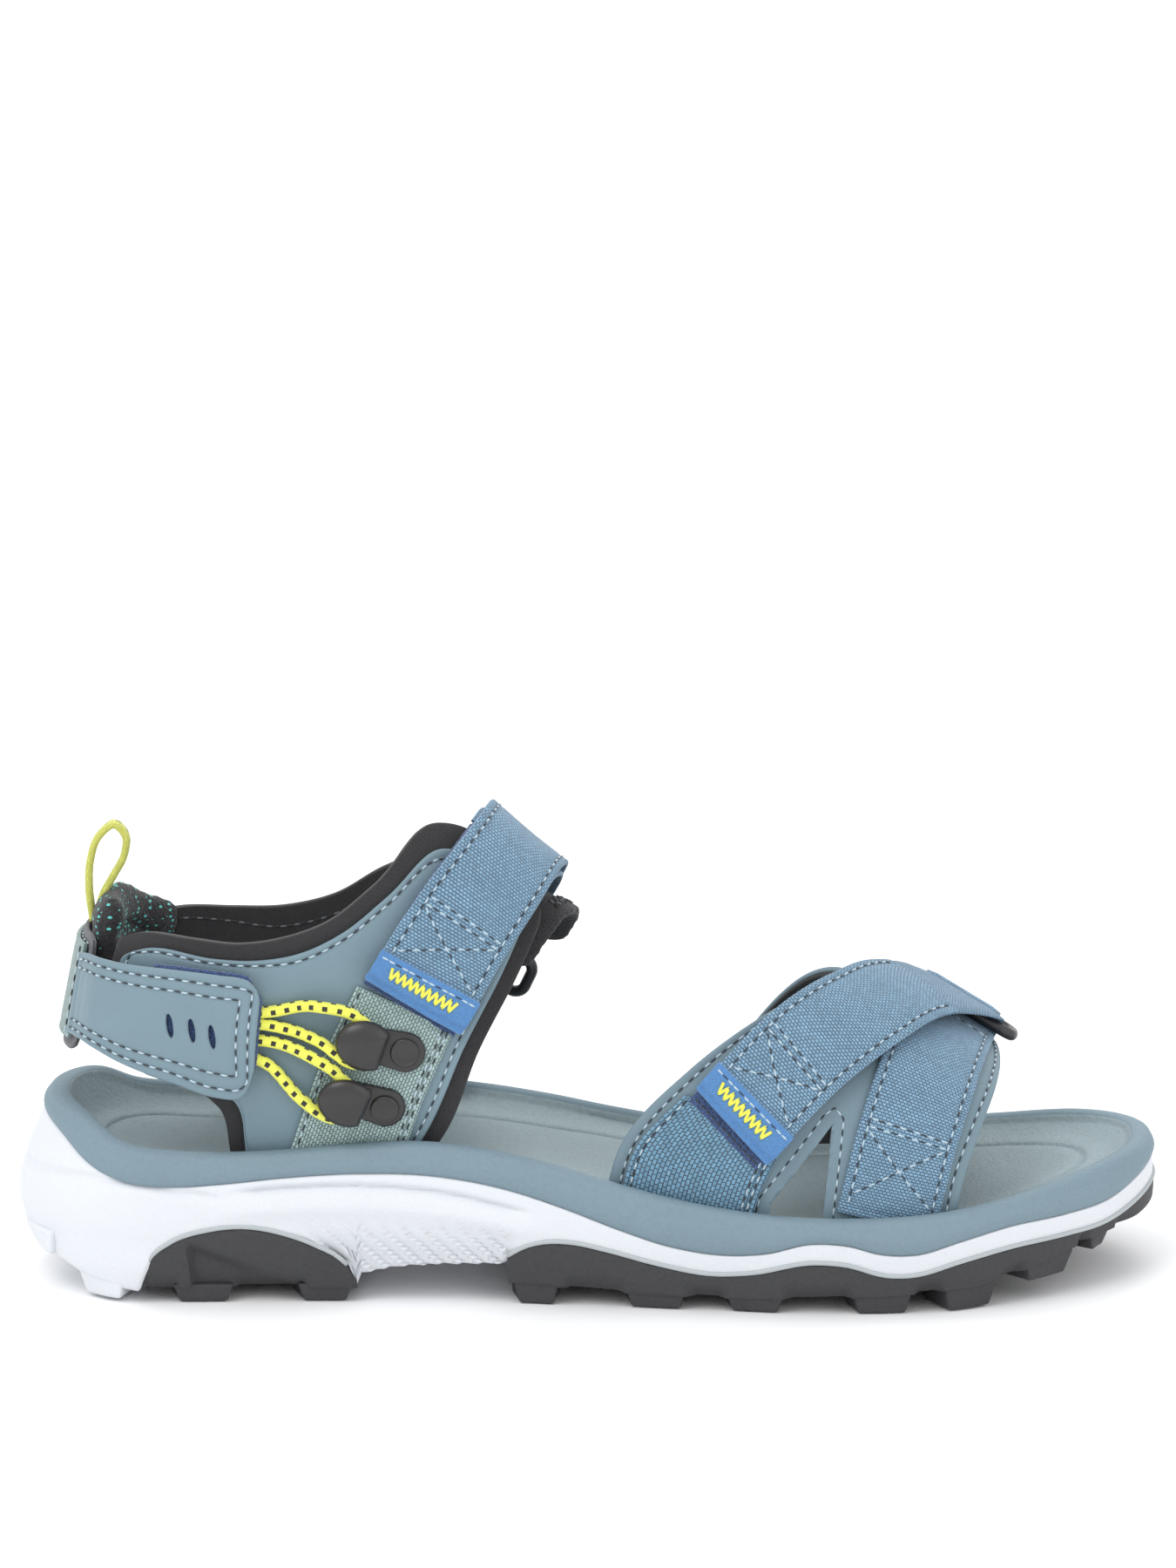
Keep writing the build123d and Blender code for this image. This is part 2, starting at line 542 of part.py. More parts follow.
with BuildPart() as ankle_loop_patch:
    patch = ribbon_grid(stretch(ankle_path, 9, 44), PATCH_EDGE - half_ankle, half_ankle - PATCH_EDGE)
    lay(patch, PATCH_LIFT, LOOP_PILE)
ankle_loop_patch.part.label = "ankle_loop_patch"

with BuildPart() as ankle_hook_patch:
    patch = ribbon_grid(stretch(ankle_path, 7, 43), PATCH_EDGE - half_ankle, half_ankle - PATCH_EDGE)
    lay(patch, HOOK_LIFT, HOOK_PILE)
ankle_hook_patch.part.label = "ankle_hook_patch"

with BuildPart() as ankle_strap:
    flap = stretch(ankle_path, 2, ankle_end)
    lift = np.interp(flap[2], [ankle_end - 2 - FLAP_RISE, ankle_end - 2], [FLAP_LIFT, over_bar])
    lay(ribbon_grid(flap, -half_ankle, half_ankle), lift, WEBBING)
ankle_strap.part.label = "ankle_strap"

with BuildPart() as ankle_pull_tab:
    tab = ribbon_grid(stretch(ankle_path, 0, 8), -half_ankle - TAB_EDGE, half_ankle + TAB_EDGE)
    lay(tab, tab_lift, TAB)
ankle_pull_tab.part.label = "ankle_pull_tab"

with BuildPart() as ankle_ring:
    add_ring(ankle_frame, ANKLE_WIDTH + RING_ROOM)
ankle_ring.part.label = "ankle_ring"

with BuildPart() as ankle_ring_keeper:
    add_keeper(ankle_frame, ANKLE_WIDTH - KEEPER_NARROWER)
ankle_ring_keeper.part.label = "ankle_ring_keeper"

# ---------------------------------------------------------------- upper: the vamp
vamp_ribs = [
    [(4, -35, 28.5), (8, -36, 40), (25, -35, 59), (46, -26, 72), (60, -12, 75), (66, 8, 73)],
    [(20, -37, 25), (24, -38, 38), (38, -36, 56), (56, -26, 69), (67, -12, 72.5), (72, 8, 71)],
    [(43, -41, 22), (49, -41, 34), (60, -37, 50), (69, -28, 62), (77, -13, 69), (80, 8, 69)],
    [(57, -43, 21), (60, -43, 33), (65, -38, 49), (74, -28, 60), (82, -13, 66.5), (85, 8, 67)],
    [(74, -43, 21), (77, -41, 35), (82, -36, 48), (88, -26, 57), (93, -13, 62), (95, 8, 62)],
    [(91, -41, 22), (94, -39, 34), (98, -34, 44), (102, -22, 51), (104, -10, 54), (104.5, 8, 55)],
]
with BuildPart() as vamp_lateral:
    lay(rib_grid(vamp_ribs, 20, 20), 0, LEATHER)
    with BuildSketch(Plane.XZ) as window:
        with BuildLine():
            Polyline(*WINDOW, close=True)
        make_face()
    extrude(window.sketch, amount=FAR, mode=Mode.SUBTRACT)
vamp_lateral.part.label = "vamp_lateral"

with BuildPart() as vamp_lateral_lining:
    lay(rib_grid(vamp_ribs, 20, 20), -VAMP_LINING, VAMP_LINING - SKIN_GAP)
    extrude(window.sketch, amount=FAR, mode=Mode.SUBTRACT)
vamp_lateral_lining.part.label = "vamp_lateral_lining"

inner_vamp_ribs = [
    [(24, 38, 23), (30, 40, 36), (42, 37, 54), (56, 24, 68), (66.3, 8.6, 73)],
    [(45, 44, 21), (50, 44, 36), (58, 38, 54), (67, 25, 65), (77, 8.6, 70)],
    [(70, 48, 20), (73, 47, 34), (78, 41, 48), (83, 26, 60), (88, 8.6, 65.5)],
    [(93, 47, 21), (96, 45, 33), (99, 39, 44), (102, 26, 52), (104.5, 8.6, 55)],
]
with BuildPart() as vamp_medial:
    lay(rib_grid(inner_vamp_ribs, 20, 16), 0, LEATHER)
vamp_medial.part.label = "vamp_medial"

with BuildPart() as vamp_medial_lining:
    lay(rib_grid(inner_vamp_ribs, 20, 16), -VAMP_LINING, VAMP_LINING - SKIN_GAP)
vamp_medial_lining.part.label = "vamp_medial_lining"

# ---------------------------------------------------------------- upper: the front strap
base_path = laid_path(FRONT_BASE_GUIDE)
base_end = float(base_path[2][-1])
flap_path = laid_path(FRONT_FLAP_GUIDE)
flap_end = float(flap_path[2][-1])
half_strap = STRAP_WIDTH / 2
front_frame = ring_frame(base_path)

with BuildPart() as front_strap_base:
    lift = np.interp(base_path[2], [base_end - BASE_DROP, base_end], [WEB_LIFT, under_bar])
    lay(ribbon_grid(base_path, -half_strap, half_strap), lift, WEBBING)
    add_fold(front_frame, STRAP_WIDTH, -90, 0)
front_strap_base.part.label = "front_strap_base"

with BuildPart() as front_loop_webbing:
    loop_ribs = [
        [(8, -36, 29), (12, -37, 40), (24, -36, 53)],
        [(24, -38, 24), (30, -39, 38), (37, -37, 50)],
        [(40, -41, 22.5), (44, -41, 32), (51, -40, 45)],
    ]
    lay(rib_grid(loop_ribs, 8, 8), PATCH_LIFT, LOOP_PILE)
front_loop_webbing.part.label = "front_loop_webbing"

with BuildPart() as front_loop_patch:
    patch = ribbon_grid(stretch(flap_path, 10, 30), PATCH_EDGE - half_strap, half_strap - PATCH_EDGE)
    lay(patch, PATCH_LIFT, LOOP_PILE)
front_loop_patch.part.label = "front_loop_patch"

with BuildPart() as front_hook_patch:
    patch = ribbon_grid(stretch(flap_path, 7, 32), PATCH_EDGE - half_strap, half_strap - PATCH_EDGE)
    lay(patch, HOOK_LIFT, HOOK_PILE)
front_hook_patch.part.label = "front_hook_patch"

with BuildPart() as front_strap:
    near_bar = flap_end - FLAP_SETBACK
    flap = stretch(flap_path, 2, near_bar)
    lift = np.interp(flap[2], [near_bar - FLAP_RISE, near_bar], [FLAP_LIFT, over_bar])
    lay(ribbon_grid(flap, -half_strap, half_strap), lift, WEBBING)
front_strap.part.label = "front_strap"

with BuildPart() as front_pull_tab:
    tab = ribbon_grid(stretch(flap_path, 0, 8), -half_strap - TAB_EDGE, half_strap + TAB_EDGE)
    lay(tab, tab_lift, TAB)
front_pull_tab.part.label = "front_pull_tab"

with BuildPart() as front_ring:
    add_ring(front_frame, STRAP_WIDTH + RING_ROOM)
front_ring.part.label = "front_ring"

with BuildPart() as front_ring_keeper:
    add_keeper(front_frame, STRAP_WIDTH - KEEPER_NARROWER)
front_ring_keeper.part.label = "front_ring_keeper"

# ---------------------------------------------------------------- heel
with BuildPart() as heel_pad:
    turns = np.linspace(-0.28, 0.7, 24)
    full = HEEL_PAD + LINING - SKIN_GAP
    depth = np.interp(turns, [-0.28, 0.1, 0.45], [full, full, HEEL_PAD])
    lay(heel_grid(turns, 63, 99), -LINING - HEEL_PAD - SKIN_GAP, depth - SKIN_GAP)
heel_pad.part.label = "heel_pad"

with BuildPart() as heel_counter:
    lay(heel_grid(np.linspace(-0.28, 0.48, 16), 59, 89), SKIN_GAP, LEATHER)
heel_counter.part.label = "heel_counter"

with BuildPart() as heel_back_webbing:
    lay(heel_grid(np.linspace(-0.24, 0.2, 12), 62, 86.5), WEB_LIFT + SKIN_GAP, WEBBING)
heel_back_webbing.part.label = "heel_back_webbing"

with BuildPart() as heel_link:
    lay(heel_grid(np.linspace(0.22, 0.75, 14), 65, 81), WEB_LIFT + SKIN_GAP, WEBBING)
heel_link.part.label = "heel_link"

strap_ribs = [
    [heel_point(0.73, 64, OUTER), heel_point(0.73, 74, OUTER), heel_point(0.73, 84.5, OUTER)],
    wall(OUTER, (-123, 64), (-123, 74), (-122, 85)),
    wall(OUTER, (-112, 60), (-112, 73), (-111, 85.5)),
    wall(OUTER, (-101, 57), (-101, 72), (-101, 85.5)),
    wall(OUTER, (-92, 54.2), (-92, 70), (-91, 84.5)),
    wall(OUTER, (-86.5, 54), (-86, 69), (-85, 83.5)),
    wall(OUTER, (-83, 57.5), (-82.3, 69), (-81, 81)),
]
with BuildPart() as heel_strap:
    grid = rib_grid(strap_ribs, 24, 10)
    lift = np.interp(grid[:, 5, 0], [-127, -119], [HEEL_STRAP_START, HEEL_STRAP_LIFT])
    lay(grid, lift, LEATHER)
    with BuildSketch(Plane.XZ):
        for x, z in HEEL_SLOTS:
            with Locations((x, z)):
                SlotOverall(SLOT_LENGTH, SLOT_WIDTH, rotation=SLOT_LEAN)
    extrude(amount=FAR, mode=Mode.SUBTRACT)
heel_strap.part.label = "heel_strap"

low, high = HEEL_PATCH_Z
patch = rib_grid([wall(OUTER, (x, low), (x, high)) for x in HEEL_PATCH_X], 8, 6)
with BuildPart() as heel_hook_patch:
    lay(patch, HOOK_LIFT, HEEL_HOOK_PILE)
heel_hook_patch.part.label = "heel_hook_patch"

with BuildPart() as heel_loop_patch:
    lay(patch, PATCH_LIFT, LOOP_PILE)
heel_loop_patch.part.label = "heel_loop_patch"


with BuildPart() as pull_loop_stem:
    with BuildSketch(Plane.XZ.offset(LOOP_WIDTH / 2)):
        with BuildLine():
            Polyline(*STEM, close=True)
        make_face()
    extrude(amount=-LOOP_WIDTH)
pull_loop_stem.part.label = "pull_loop_stem"

with BuildPart() as heel_pull_loop:
    with BuildSketch(Plane.XZ.offset(LOOP_WIDTH / 2)):
        with Locations(LOOP_CENTRE):
            Ellipse(*LOOP_RADII, rotation=LOOP_LEAN)
            hole = [radius - WEBBING for radius in LOOP_RADII]
            Ellipse(*hole, rotation=LOOP_LEAN, mode=Mode.SUBTRACT)
    extrude(amount=-LOOP_WIDTH)
heel_pull_loop.part.label = "heel_pull_loop"

# ---------------------------------------------------------------- elastic cords and hooks
def cord_line(points, near_hook):
    """Corner points of a cord on the outer wall. It climbs over the hook's plate near the post."""
    corners = []
    for x, z in points:
        p = wall_point(x, z, OUTER)
        climb = ease((x - near_hook) / 10.0)
        corners.append(tuple(p + (CORD_LIFT + climb * (HOOK_CORD_LIFT - CORD_LIFT)) * normal(p)))
    return corners


def add_cord(points, near_hook, radii):
    """Round cord along its corners, with an arc of its own at each."""
    with BuildLine() as line:
        FilletPolyline(*cord_line(points, near_hook), radius=radii)
    route = line.wire()
    with BuildSketch(Plane(origin=route @ 0, z_dir=route % 0)) as section:
        Circle(CORD_RADIUS)
    sweep(sections=section.sketch, path=route)


with BuildPart() as bungee_loop_upper:
    add_cord(UPPER_LOOP, -73, UPPER_BENDS)
bungee_loop_upper.part.label = "bungee_loop_upper"

with BuildPart() as bungee_loop_lower:
    add_cord(LOWER_LOOP, -77, LOWER_BENDS)
bungee_loop_lower.part.label = "bungee_loop_lower"


def hook_plane(post, rivet, lift):
    """Plane on the outer wall at a hook's post, its X axis toward the rivet."""
    p, q = wall_point(*post, OUTER), wall_point(*rivet, OUTER)
    n = normal((p + q) / 2)
    return Plane(origin=tuple(p + lift * n), x_dir=tuple(q - p), z_dir=tuple(n))


def hook_reach(post, rivet):
    """Distance from a hook's post to its rivet."""
    return np.linalg.norm(wall_point(*rivet, OUTER) - wall_point(*post, OUTER))


hook_names = ("lace_hook_upper", "lace_hook_lower")
hooks = []
plate_lift = WEB_LIFT + WEBBING + GAP
for (post, rivet), name in zip(HOOKS, hook_names):
    reach = hook_reach(post, rivet)
    base = hook_plane(post, rivet, plate_lift)
    with BuildPart() as hook:
        with BuildSketch(base):
            with Locations((reach / 2, 0)):
                SlotOverall(reach + PLATE_WIDTH, PLATE_WIDTH)
            with Locations((reach, 0)):
                Circle(SHANK_RADIUS + SHANK_ROOM, mode=Mode.SUBTRACT)
        extrude(amount=PLATE)
        with BuildSketch(base):
            Circle(POST_RADIUS)
        extrude(amount=CAP_LIFT - plate_lift)
        for disc, (long, short) in enumerate(CAP_RADII):
            with BuildSketch(base.offset(CAP_LIFT - plate_lift + disc * CAP)):
                Ellipse(long, short)
            extrude(amount=CAP)
    hook.part.label = name
    hooks.append(hook.part)

shank = plate_lift + PLATE + LINING + RIVET_CLEAR
with BuildPart() as hook_rivets:
    for post, rivet in HOOKS:
        reach = hook_reach(post, rivet)
        head = hook_plane(post, rivet, plate_lift + PLATE)
        with BuildSketch(head):
            with Locations((reach, 0)):
                Circle(RIVET_RADIUS)
        extrude(amount=RIVET_HEAD, taper=RIVET_TAPER)
        with BuildSketch(head):
            with Locations((reach, 0)):
                Circle(SHANK_RADIUS)
        extrude(amount=-shank)
        with BuildSketch(head.offset(-shank)):
            with Locations((reach, 0)):
                Circle(RIVET_RADIUS)
        extrude(amount=-RIVET_TAIL)
hook_rivets.part.label = "hook_rivets"

rivet_holes = []
for post, rivet in HOOKS:
    with BuildPart() as hole:
        with BuildSketch(hook_plane(post, rivet, -2 * LINING)):
            with Locations((hook_reach(post, rivet), 0)):
                Circle(SHANK_RADIUS + SHANK_ROOM)
        extrude(amount=4 * LINING)
    rivet_holes.append(hole.part)

for layer in (quarter_webbing, lateral_quarter, lateral_quarter_lining):
    name = layer.part.label
    with layer:
        for hole in rivet_holes:
            add(hole, mode=Mode.SUBTRACT)
    layer.part.label = name

# ---------------------------------------------------------------- files
os.makedirs("parts", exist_ok=True)
built = [
    outsole_forefoot, outsole_heel, midsole, footbed,
    lateral_quarter, lateral_quarter_lining, quarter_webbing, medial_quarter, medial_quarter_lining,
    instep_pad, ankle_strap_base, ankle_loop_patch, ankle_hook_patch, ankle_strap, ankle_pull_tab,
    ankle_ring, ankle_ring_keeper,
    vamp_lateral, vamp_lateral_lining, vamp_medial, vamp_medial_lining,
    front_strap_base, front_loop_webbing, front_loop_patch, front_hook_patch, front_strap, front_pull_tab,
    front_ring, front_ring_keeper,
    heel_pad, heel_counter, heel_back_webbing, heel_link, heel_strap, heel_hook_patch, heel_loop_patch,
    pull_loop_stem, heel_pull_loop, bungee_loop_upper, bungee_loop_lower, hook_rivets,
]
for piece in [builder.part for builder in built] + hooks:
    export_step(piece, f"parts/{piece.label}.step")
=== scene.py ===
"""Looks of a strappy sport sandal for the right foot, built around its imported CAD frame.

The frame is the CAD's: +X to the toe, +Y to the inner side, +Z up. Shapes are worked out in
millimetres on the same foot form and sole outline as the CAD, and meshes are made in metres.
"""

import math

import bmesh
import bpy
import numpy as np
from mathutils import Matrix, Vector


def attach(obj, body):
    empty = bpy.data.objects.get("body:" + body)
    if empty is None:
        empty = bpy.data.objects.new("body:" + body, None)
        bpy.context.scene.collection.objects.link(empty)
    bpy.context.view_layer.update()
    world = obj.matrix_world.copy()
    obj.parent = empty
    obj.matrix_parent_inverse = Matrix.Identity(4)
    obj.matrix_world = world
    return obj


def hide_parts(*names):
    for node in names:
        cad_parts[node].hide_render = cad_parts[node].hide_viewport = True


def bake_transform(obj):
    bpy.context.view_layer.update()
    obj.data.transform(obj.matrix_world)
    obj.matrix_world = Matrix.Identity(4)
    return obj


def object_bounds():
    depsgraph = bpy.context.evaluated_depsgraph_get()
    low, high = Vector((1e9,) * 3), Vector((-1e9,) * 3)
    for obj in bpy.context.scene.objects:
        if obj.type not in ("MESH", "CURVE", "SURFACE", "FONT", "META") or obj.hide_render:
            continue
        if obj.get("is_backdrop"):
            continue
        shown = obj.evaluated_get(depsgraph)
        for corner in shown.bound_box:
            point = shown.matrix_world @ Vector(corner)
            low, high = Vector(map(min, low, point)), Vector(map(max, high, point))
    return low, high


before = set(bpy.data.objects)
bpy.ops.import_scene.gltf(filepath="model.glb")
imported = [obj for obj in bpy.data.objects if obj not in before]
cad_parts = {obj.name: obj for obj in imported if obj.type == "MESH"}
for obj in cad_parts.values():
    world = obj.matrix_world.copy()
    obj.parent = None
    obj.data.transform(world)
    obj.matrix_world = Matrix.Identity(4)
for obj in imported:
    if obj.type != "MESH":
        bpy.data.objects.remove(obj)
cad_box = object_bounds()

MM = 0.001
OUTER, INNER = -1, 1

# ---------------------------------------------------------------- dimensions shared with the CAD
LENGTH = 290.0
TOE_X = LENGTH / 2
TOE_CAP, HEEL_CAP, CAP_POWER = 70.0, 38.0, 2.2
HALF_WIDTH = [(-145, 38), (-110, 39.5), (-60, 37.5), (-20, 38), (20, 44.5), (60, 51), (90, 51),
              (120, 47.5), (145, 44)]
MIDDLE = [(-145, -0.6), (-60, -2.6), (-20, -3.6), (20, -2.6), (60, -0.6), (90, 1.4), (120, 5.4),
          (145, 8.4)]
RIM_TOP = [(-150, 48), (-135, 46), (-122, 41), (-105, 39), (-75, 39), (-58, 40.5), (-40, 41),
           (-26, 39.5), (-11, 36.5), (6, 32), (26, 27.5), (47, 25), (68, 24.5), (89, 25.5),
           (110, 28), (130, 31.5), (150, 34)]
FOOTBED_FLOOR = [(-150, 40), (-125, 35.5), (-100, 33.5), (-60, 35), (-30, 34.5), (0, 29), (30, 22),
                 (65, 19.8), (95, 21.5), (120, 25), (150, 30)]
FOOTBED_BASE = [(-150, 45), (-137, 40), (-130, 36), (-120, 32), (-108, 30.3), (-92, 31),
                (-76, 32.5), (-56, 33.5), (-41, 33.2), (-21, 30), (-6, 25.5), (8, 20.5),
                (20, 16.8), (34, 15), (44, 15.8), (55, 18.6), (64, 18.2), (73, 15.8), (82, 15.6),
                (92, 18.2), (105, 20.8), (120, 21.5), (132, 22.8), (140, 26), (150, 31)]
RUBBER_TOP = [(-24, 9), (-19.5, 13), (-13, 16), (-5, 16.6), (5, 14.8), (17, 11.8), (30, 9.6),
              (40, 10.2), (56, 13.4), (64, 12.8), (74, 9.9), (81, 9.8), (93, 12.8), (105, 15),
              (120, 15.9), (131, 16.8), (140, 20), (150, 25)]
HEEL_PAD_TOP = [(-116, 1), (-112, 9.5), (-105, 15.5), (-95, 19), (-85, 19.8), (-76, 18),
                (-66, 13.8), (-60, 9.5), (-56, 1)]
MIDSOLE_UNDER = [(-150, 16), (-141, 11.5), (-130, 6), (-116, 3), (-98, 3), (-60, 6.5), (-48, 9),
                 (-30, 10), (-10, 10), (20, 5), (90, 5), (110, 8), (130, 14), (150, 22)]
TREAD_BASE = [(-26, 6), (-15, 5), (85, 5), (100, 6), (115, 9.5), (130, 14.5), (150, 21)]
TREAD_FLOOR = [(-30, 0), (80, 0), (96, 0.2), (108, 2.5), (120, 6.5), (132, 11), (150, 18)]
SIDE_INSET = [(-4, 5.0), (6, 2.4), (18, 0.4), (30, 0.6), (43, 2.4), (56, 5.0)]
HEEL_SHIFT = [(-4, 3.0), (9, 2.5), (16, 0.6), (21, 0), (30, 1.0), (38, 3.4), (46, 5.0), (56, 6.0)]
RUBBER_START, HEEL_PAD_START, HEEL_PAD_END, HEEL_PAD_BASE = -21.0, -115.0, -57.0, 3.2
EDGE_LUGS = [(-19.5, -7), (9, 24), (34, 48), (66, 81), (89.5, 103), (110.5, 123), (127, 133)]
CENTRE_LUGS = [-2, 16.5, 34, 51.5, 69, 86.5, 104]
HEEL_LUGS = [(-103, -89.5), (-69.5, -59)]

FORM_MARGIN, FORM_BASE, ANKLE_FLARE = 9.5, 22.0, 3.5
LEG_X, LEG_RISE = -85.0, 400.0
CREST = [(-85, 422), (-74, 270), (-60, 178), (-45, 141), (-30, 119), (-15, 104), (0, 96),
         (20, 89.5), (45, 81), (70, 72.5), (85, 66), (100, 57), (115, 47), (130, 36), (145, 24)]
HEEL_BACK, HEEL_LEAN = -131.5, 0.2
SIDE_POWER, CREST_POWER, HEEL_POWER = 2.2, 2.6, 2.3

LINING, VAMP_LINING, LEATHER = 3.0, 1.2, 1.4
WEBBING, PILE, TAB = 1.3, 1.3, 0.9
WEB_LIFT, HOOK_LIFT, FLAP_LIFT, HEEL_STRAP_LIFT = 1.7, 3.4, 4.9, 5.3
SKIN_GAP, GAP = 0.3, 0.3
BAR_RADIUS, BAR_LIFT, RING_DEPTH = 1.5, 4.8, 10.0
OVER_BAR = BAR_LIFT + BAR_RADIUS + GAP
UNDER_BAR = BAR_LIFT - BAR_RADIUS - GAP - WEBBING
HALF_ANKLE, HALF_STRAP = 13.5, 12.5
SUNK, ON_TOP = 1.0, 0.02
QUARTER_SEAM, VAMP_SEAM, STRAP_SEAM = 2.2, 2.3, 2.4
BAR_REACH, BAR_RUN = 16.0, 0.6
FLAP_SETBACK = 12.5
ANKLE_GUIDE = [(-44, -33, 75.5), (-30.5, -24, 97), (-18, -4, 109.5), (-18, 12, 103), (-23, 24, 92),
               (-28, 30, 80)]
FRONT_BASE_GUIDE = [(74.5, -43, 25), (79, -37, 43), (85, -24, 57.5), (90, -6, 63), (92, 8, 62)]
FRONT_FLAP_GUIDE = [(36, -39, 46), (53.5, -32, 61.5), (68, -20, 67), (80, -6, 69), (90, 6, 64)]
WINDOW = [(60.5, 46.5), (57.5, 15), (43.5, 15), (45.5, 27)]
WINDOW_SEAM = [(40.6, 19), (42.8, 28.2), (58.6, 48.6), (61.2, 50.2), (63.4, 47.6), (60.2, 17)]
HEEL_SEAMS = (2.2, 5.0)
HEEL_SLOTS = [(-103.5, 71.5), (-98, 70.5), (-93, 69)]
CORD_RADIUS, CORD_LIFT, HOOK_CORD_LIFT = 1.5, 3.3, 6.0
UPPER_LOOP = [(-92, 75), (-80, 74.5), (-68, 76), (-57.5, 73.3), (-52.4, 66.3), (-57, 61.8),
              (-67, 67.3), (-80, 71.3), (-92, 71.8)]
LOWER_LOOP = [(-92, 67.3), (-80, 67.2), (-69, 63.5), (-61.5, 58.6), (-56.6, 52.8), (-62, 48.8),
              (-71, 53), (-81, 62), (-92, 63.8)]
HOOKS = [((-54.5, 66.2), (-45.5, 64)), ((-59, 53.2), (-50.5, 50.5))]
PULL_LOOP = [(-125.3, 89.8), (-126.2, 98), (-125.8, 105), (-123.4, 111.5), (-119.4, 114.4),
             (-116.9, 111.8), (-117.2, 106.5), (-119.8, 101.5), (-122.6, 96.5), (-124.4, 90.5)]


# ---------------------------------------------------------------- curves and the foot form
def curve(x, knots):
    """Smooth curve through (x, value) knots, flat beyond the ends."""
    xs, ys = np.array(knots, float).T
    slope = np.gradient(ys, xs)
    x = np.clip(x, xs[0], xs[-1])
    i = np.clip(np.searchsorted(xs, x) - 1, 0, len(xs) - 2)
    step = xs[i + 1] - xs[i]
    t = (x - xs[i]) / step
    return (
        (2 * t**3 - 3 * t**2 + 1) * ys[i]
        + (t**3 - 2 * t**2 + t) * step * slope[i]
        + (3 * t**2 - 2 * t**3) * ys[i + 1]
        + (t**3 - t**2) * step * slope[i + 1]
    )


def ease(t):
    """Smooth step from 0 to 1."""
    t = np.clip(t, 0, 1)
    return t * t * (3 - 2 * t)


def bell(distance, width):
    """1 at no distance, falling smoothly to nothing past width."""
    return np.exp(-((distance / width) ** 2))


def unit(v):
    """The same directions with a length of 1."""
    return v / np.linalg.norm(v, axis=-1, keepdims=True)


def travel(points):
    """Distances run along points, from 0 at the first."""
    return np.append(0, np.cumsum(np.linalg.norm(np.diff(points, axis=0), axis=1)))


def plan_half(x):
    """Half width of the sole at X, with the rounded ends."""
    width = curve(x, HALF_WIDTH)
    for over, cap in ((x - TOE_X + TOE_CAP, TOE_CAP), (-x - TOE_X + HEEL_CAP, HEEL_CAP)):
        width = width * np.clip(1 - (np.clip(over, 0, None) / cap) ** CAP_POWER, 0, None) ** (1 / CAP_POWER)
    return width


def form_half(x, z):
    """Half width of the foot form at X, flared a little at the ankle."""
    flare = ANKLE_FLARE * ease((z - 36) / 24) * ease((-10 - x) / 30)
    return curve(x, HALF_WIDTH) - FORM_MARGIN + flare


def heel_line(z):
    """X of the form's back at a height."""
    return HEEL_BACK + HEEL_LEAN * (z - 60)


def crest_term(x, z):
    """The form's share of its height, which closes it over the instep."""
    rise = np.where(x < LEG_X, LEG_RISE, curve(x, CREST) - FORM_BASE)
    return np.clip((z - FORM_BASE) / rise, 0, None) ** CREST_POWER


def level(p):
    """Below 0 inside the foot form, 0 on it."""
    x, y, z = p[..., 0], p[..., 1], p[..., 2]
    side = (np.abs(y - curve(x, MIDDLE)) / form_half(x, z)) ** SIDE_POWER
    heel = np.clip((LEG_X - x) / (LEG_X - heel_line(z)), 0, None) ** HEEL_POWER
    return side + heel + crest_term(x, z) - 1


def gradient(p, d=0.02):
    """Steepest way out of the form at p."""
    return np.stack([(level(p + d * axis) - level(p - d * axis)) / (2 * d) for axis in np.eye(3)], -1)


def normal(p):
    """Outward direction of the form at p."""
    return unit(gradient(p))


def onto(p, steps=8):
    """The point of the form near p."""
    for _ in range(steps):
        g = gradient(p)
        p = p - (level(p) / (g**2).sum(-1))[..., None] * g
    return p


def wall_point(x, z, side=OUTER):
    """Point of the form's wall at side -1 (outer) or +1 (inner)."""
    heel = np.clip((LEG_X - x) / (LEG_X - heel_line(z)), 0, None) ** HEEL_POWER
    reach = np.clip(1 - crest_term(x, z) - heel, 1e-4, 1) ** (1 / SIDE_POWER)
    return np.stack([x, curve(x, MIDDLE) + side * form_half(x, z) * reach, z], -1)


def heel_point(turn, z, side):
    """Point of the form behind the leg line. turn runs from 0 at the side to 1 at the back of the heel."""
    room = 1 - ((z - FORM_BASE) / LEG_RISE) ** CREST_POWER
    a = turn * np.pi / 2
    x = LEG_X + (heel_line(z) - LEG_X) * (room * np.sin(a) ** 2) ** (1 / HEEL_POWER)
    reach = (room * np.clip(np.cos(a), 0, 1) ** 2) ** (1 / SIDE_POWER)
    return np.stack([x, curve(x, MIDDLE) + side * form_half(x, z) * reach, z], -1)


def smooth_line(points, count):
    """count points spread evenly along a smooth line through the given ones."""
    p = np.array(points, float)
    mark = travel(p)
    s = np.linspace(0, mark[-1], count)
    return np.stack([curve(s, np.column_stack([mark, p[:, k]])) for k in range(p.shape[1])], -1)


def rib_grid(ribs, columns=70, rows=50):
    """Grid on the form across ribs, which are lines of guide points from the sole upward."""
    lines = np.array([smooth_line(rib, rows) for rib in ribs])
    grid = np.array([smooth_line(lines[:, row], columns) for row in range(rows)])
    return onto(np.swapaxes(grid, 0, 1))


def walls(side, *ribs):
    """Ribs on one wall of the form, from (x, z) points. A z of None is below the footbed's floor."""
    def height(x, z):
        return curve(x, FOOTBED_FLOOR) - SUNK if z is None else z

    return [[wall_point(x, height(x, z), side) for x, z in rib] for rib in ribs]


def heel_grid(turns, low, high, rows=30):
    """Grid round the back of the heel. A turn is -1 to 0 on the outer side, and 0 to 1 on the inner."""
    z = np.linspace(low, high, rows)
    return np.array([heel_point(1 - abs(turn), z, OUTER if turn < 0 else INNER) for turn in turns])


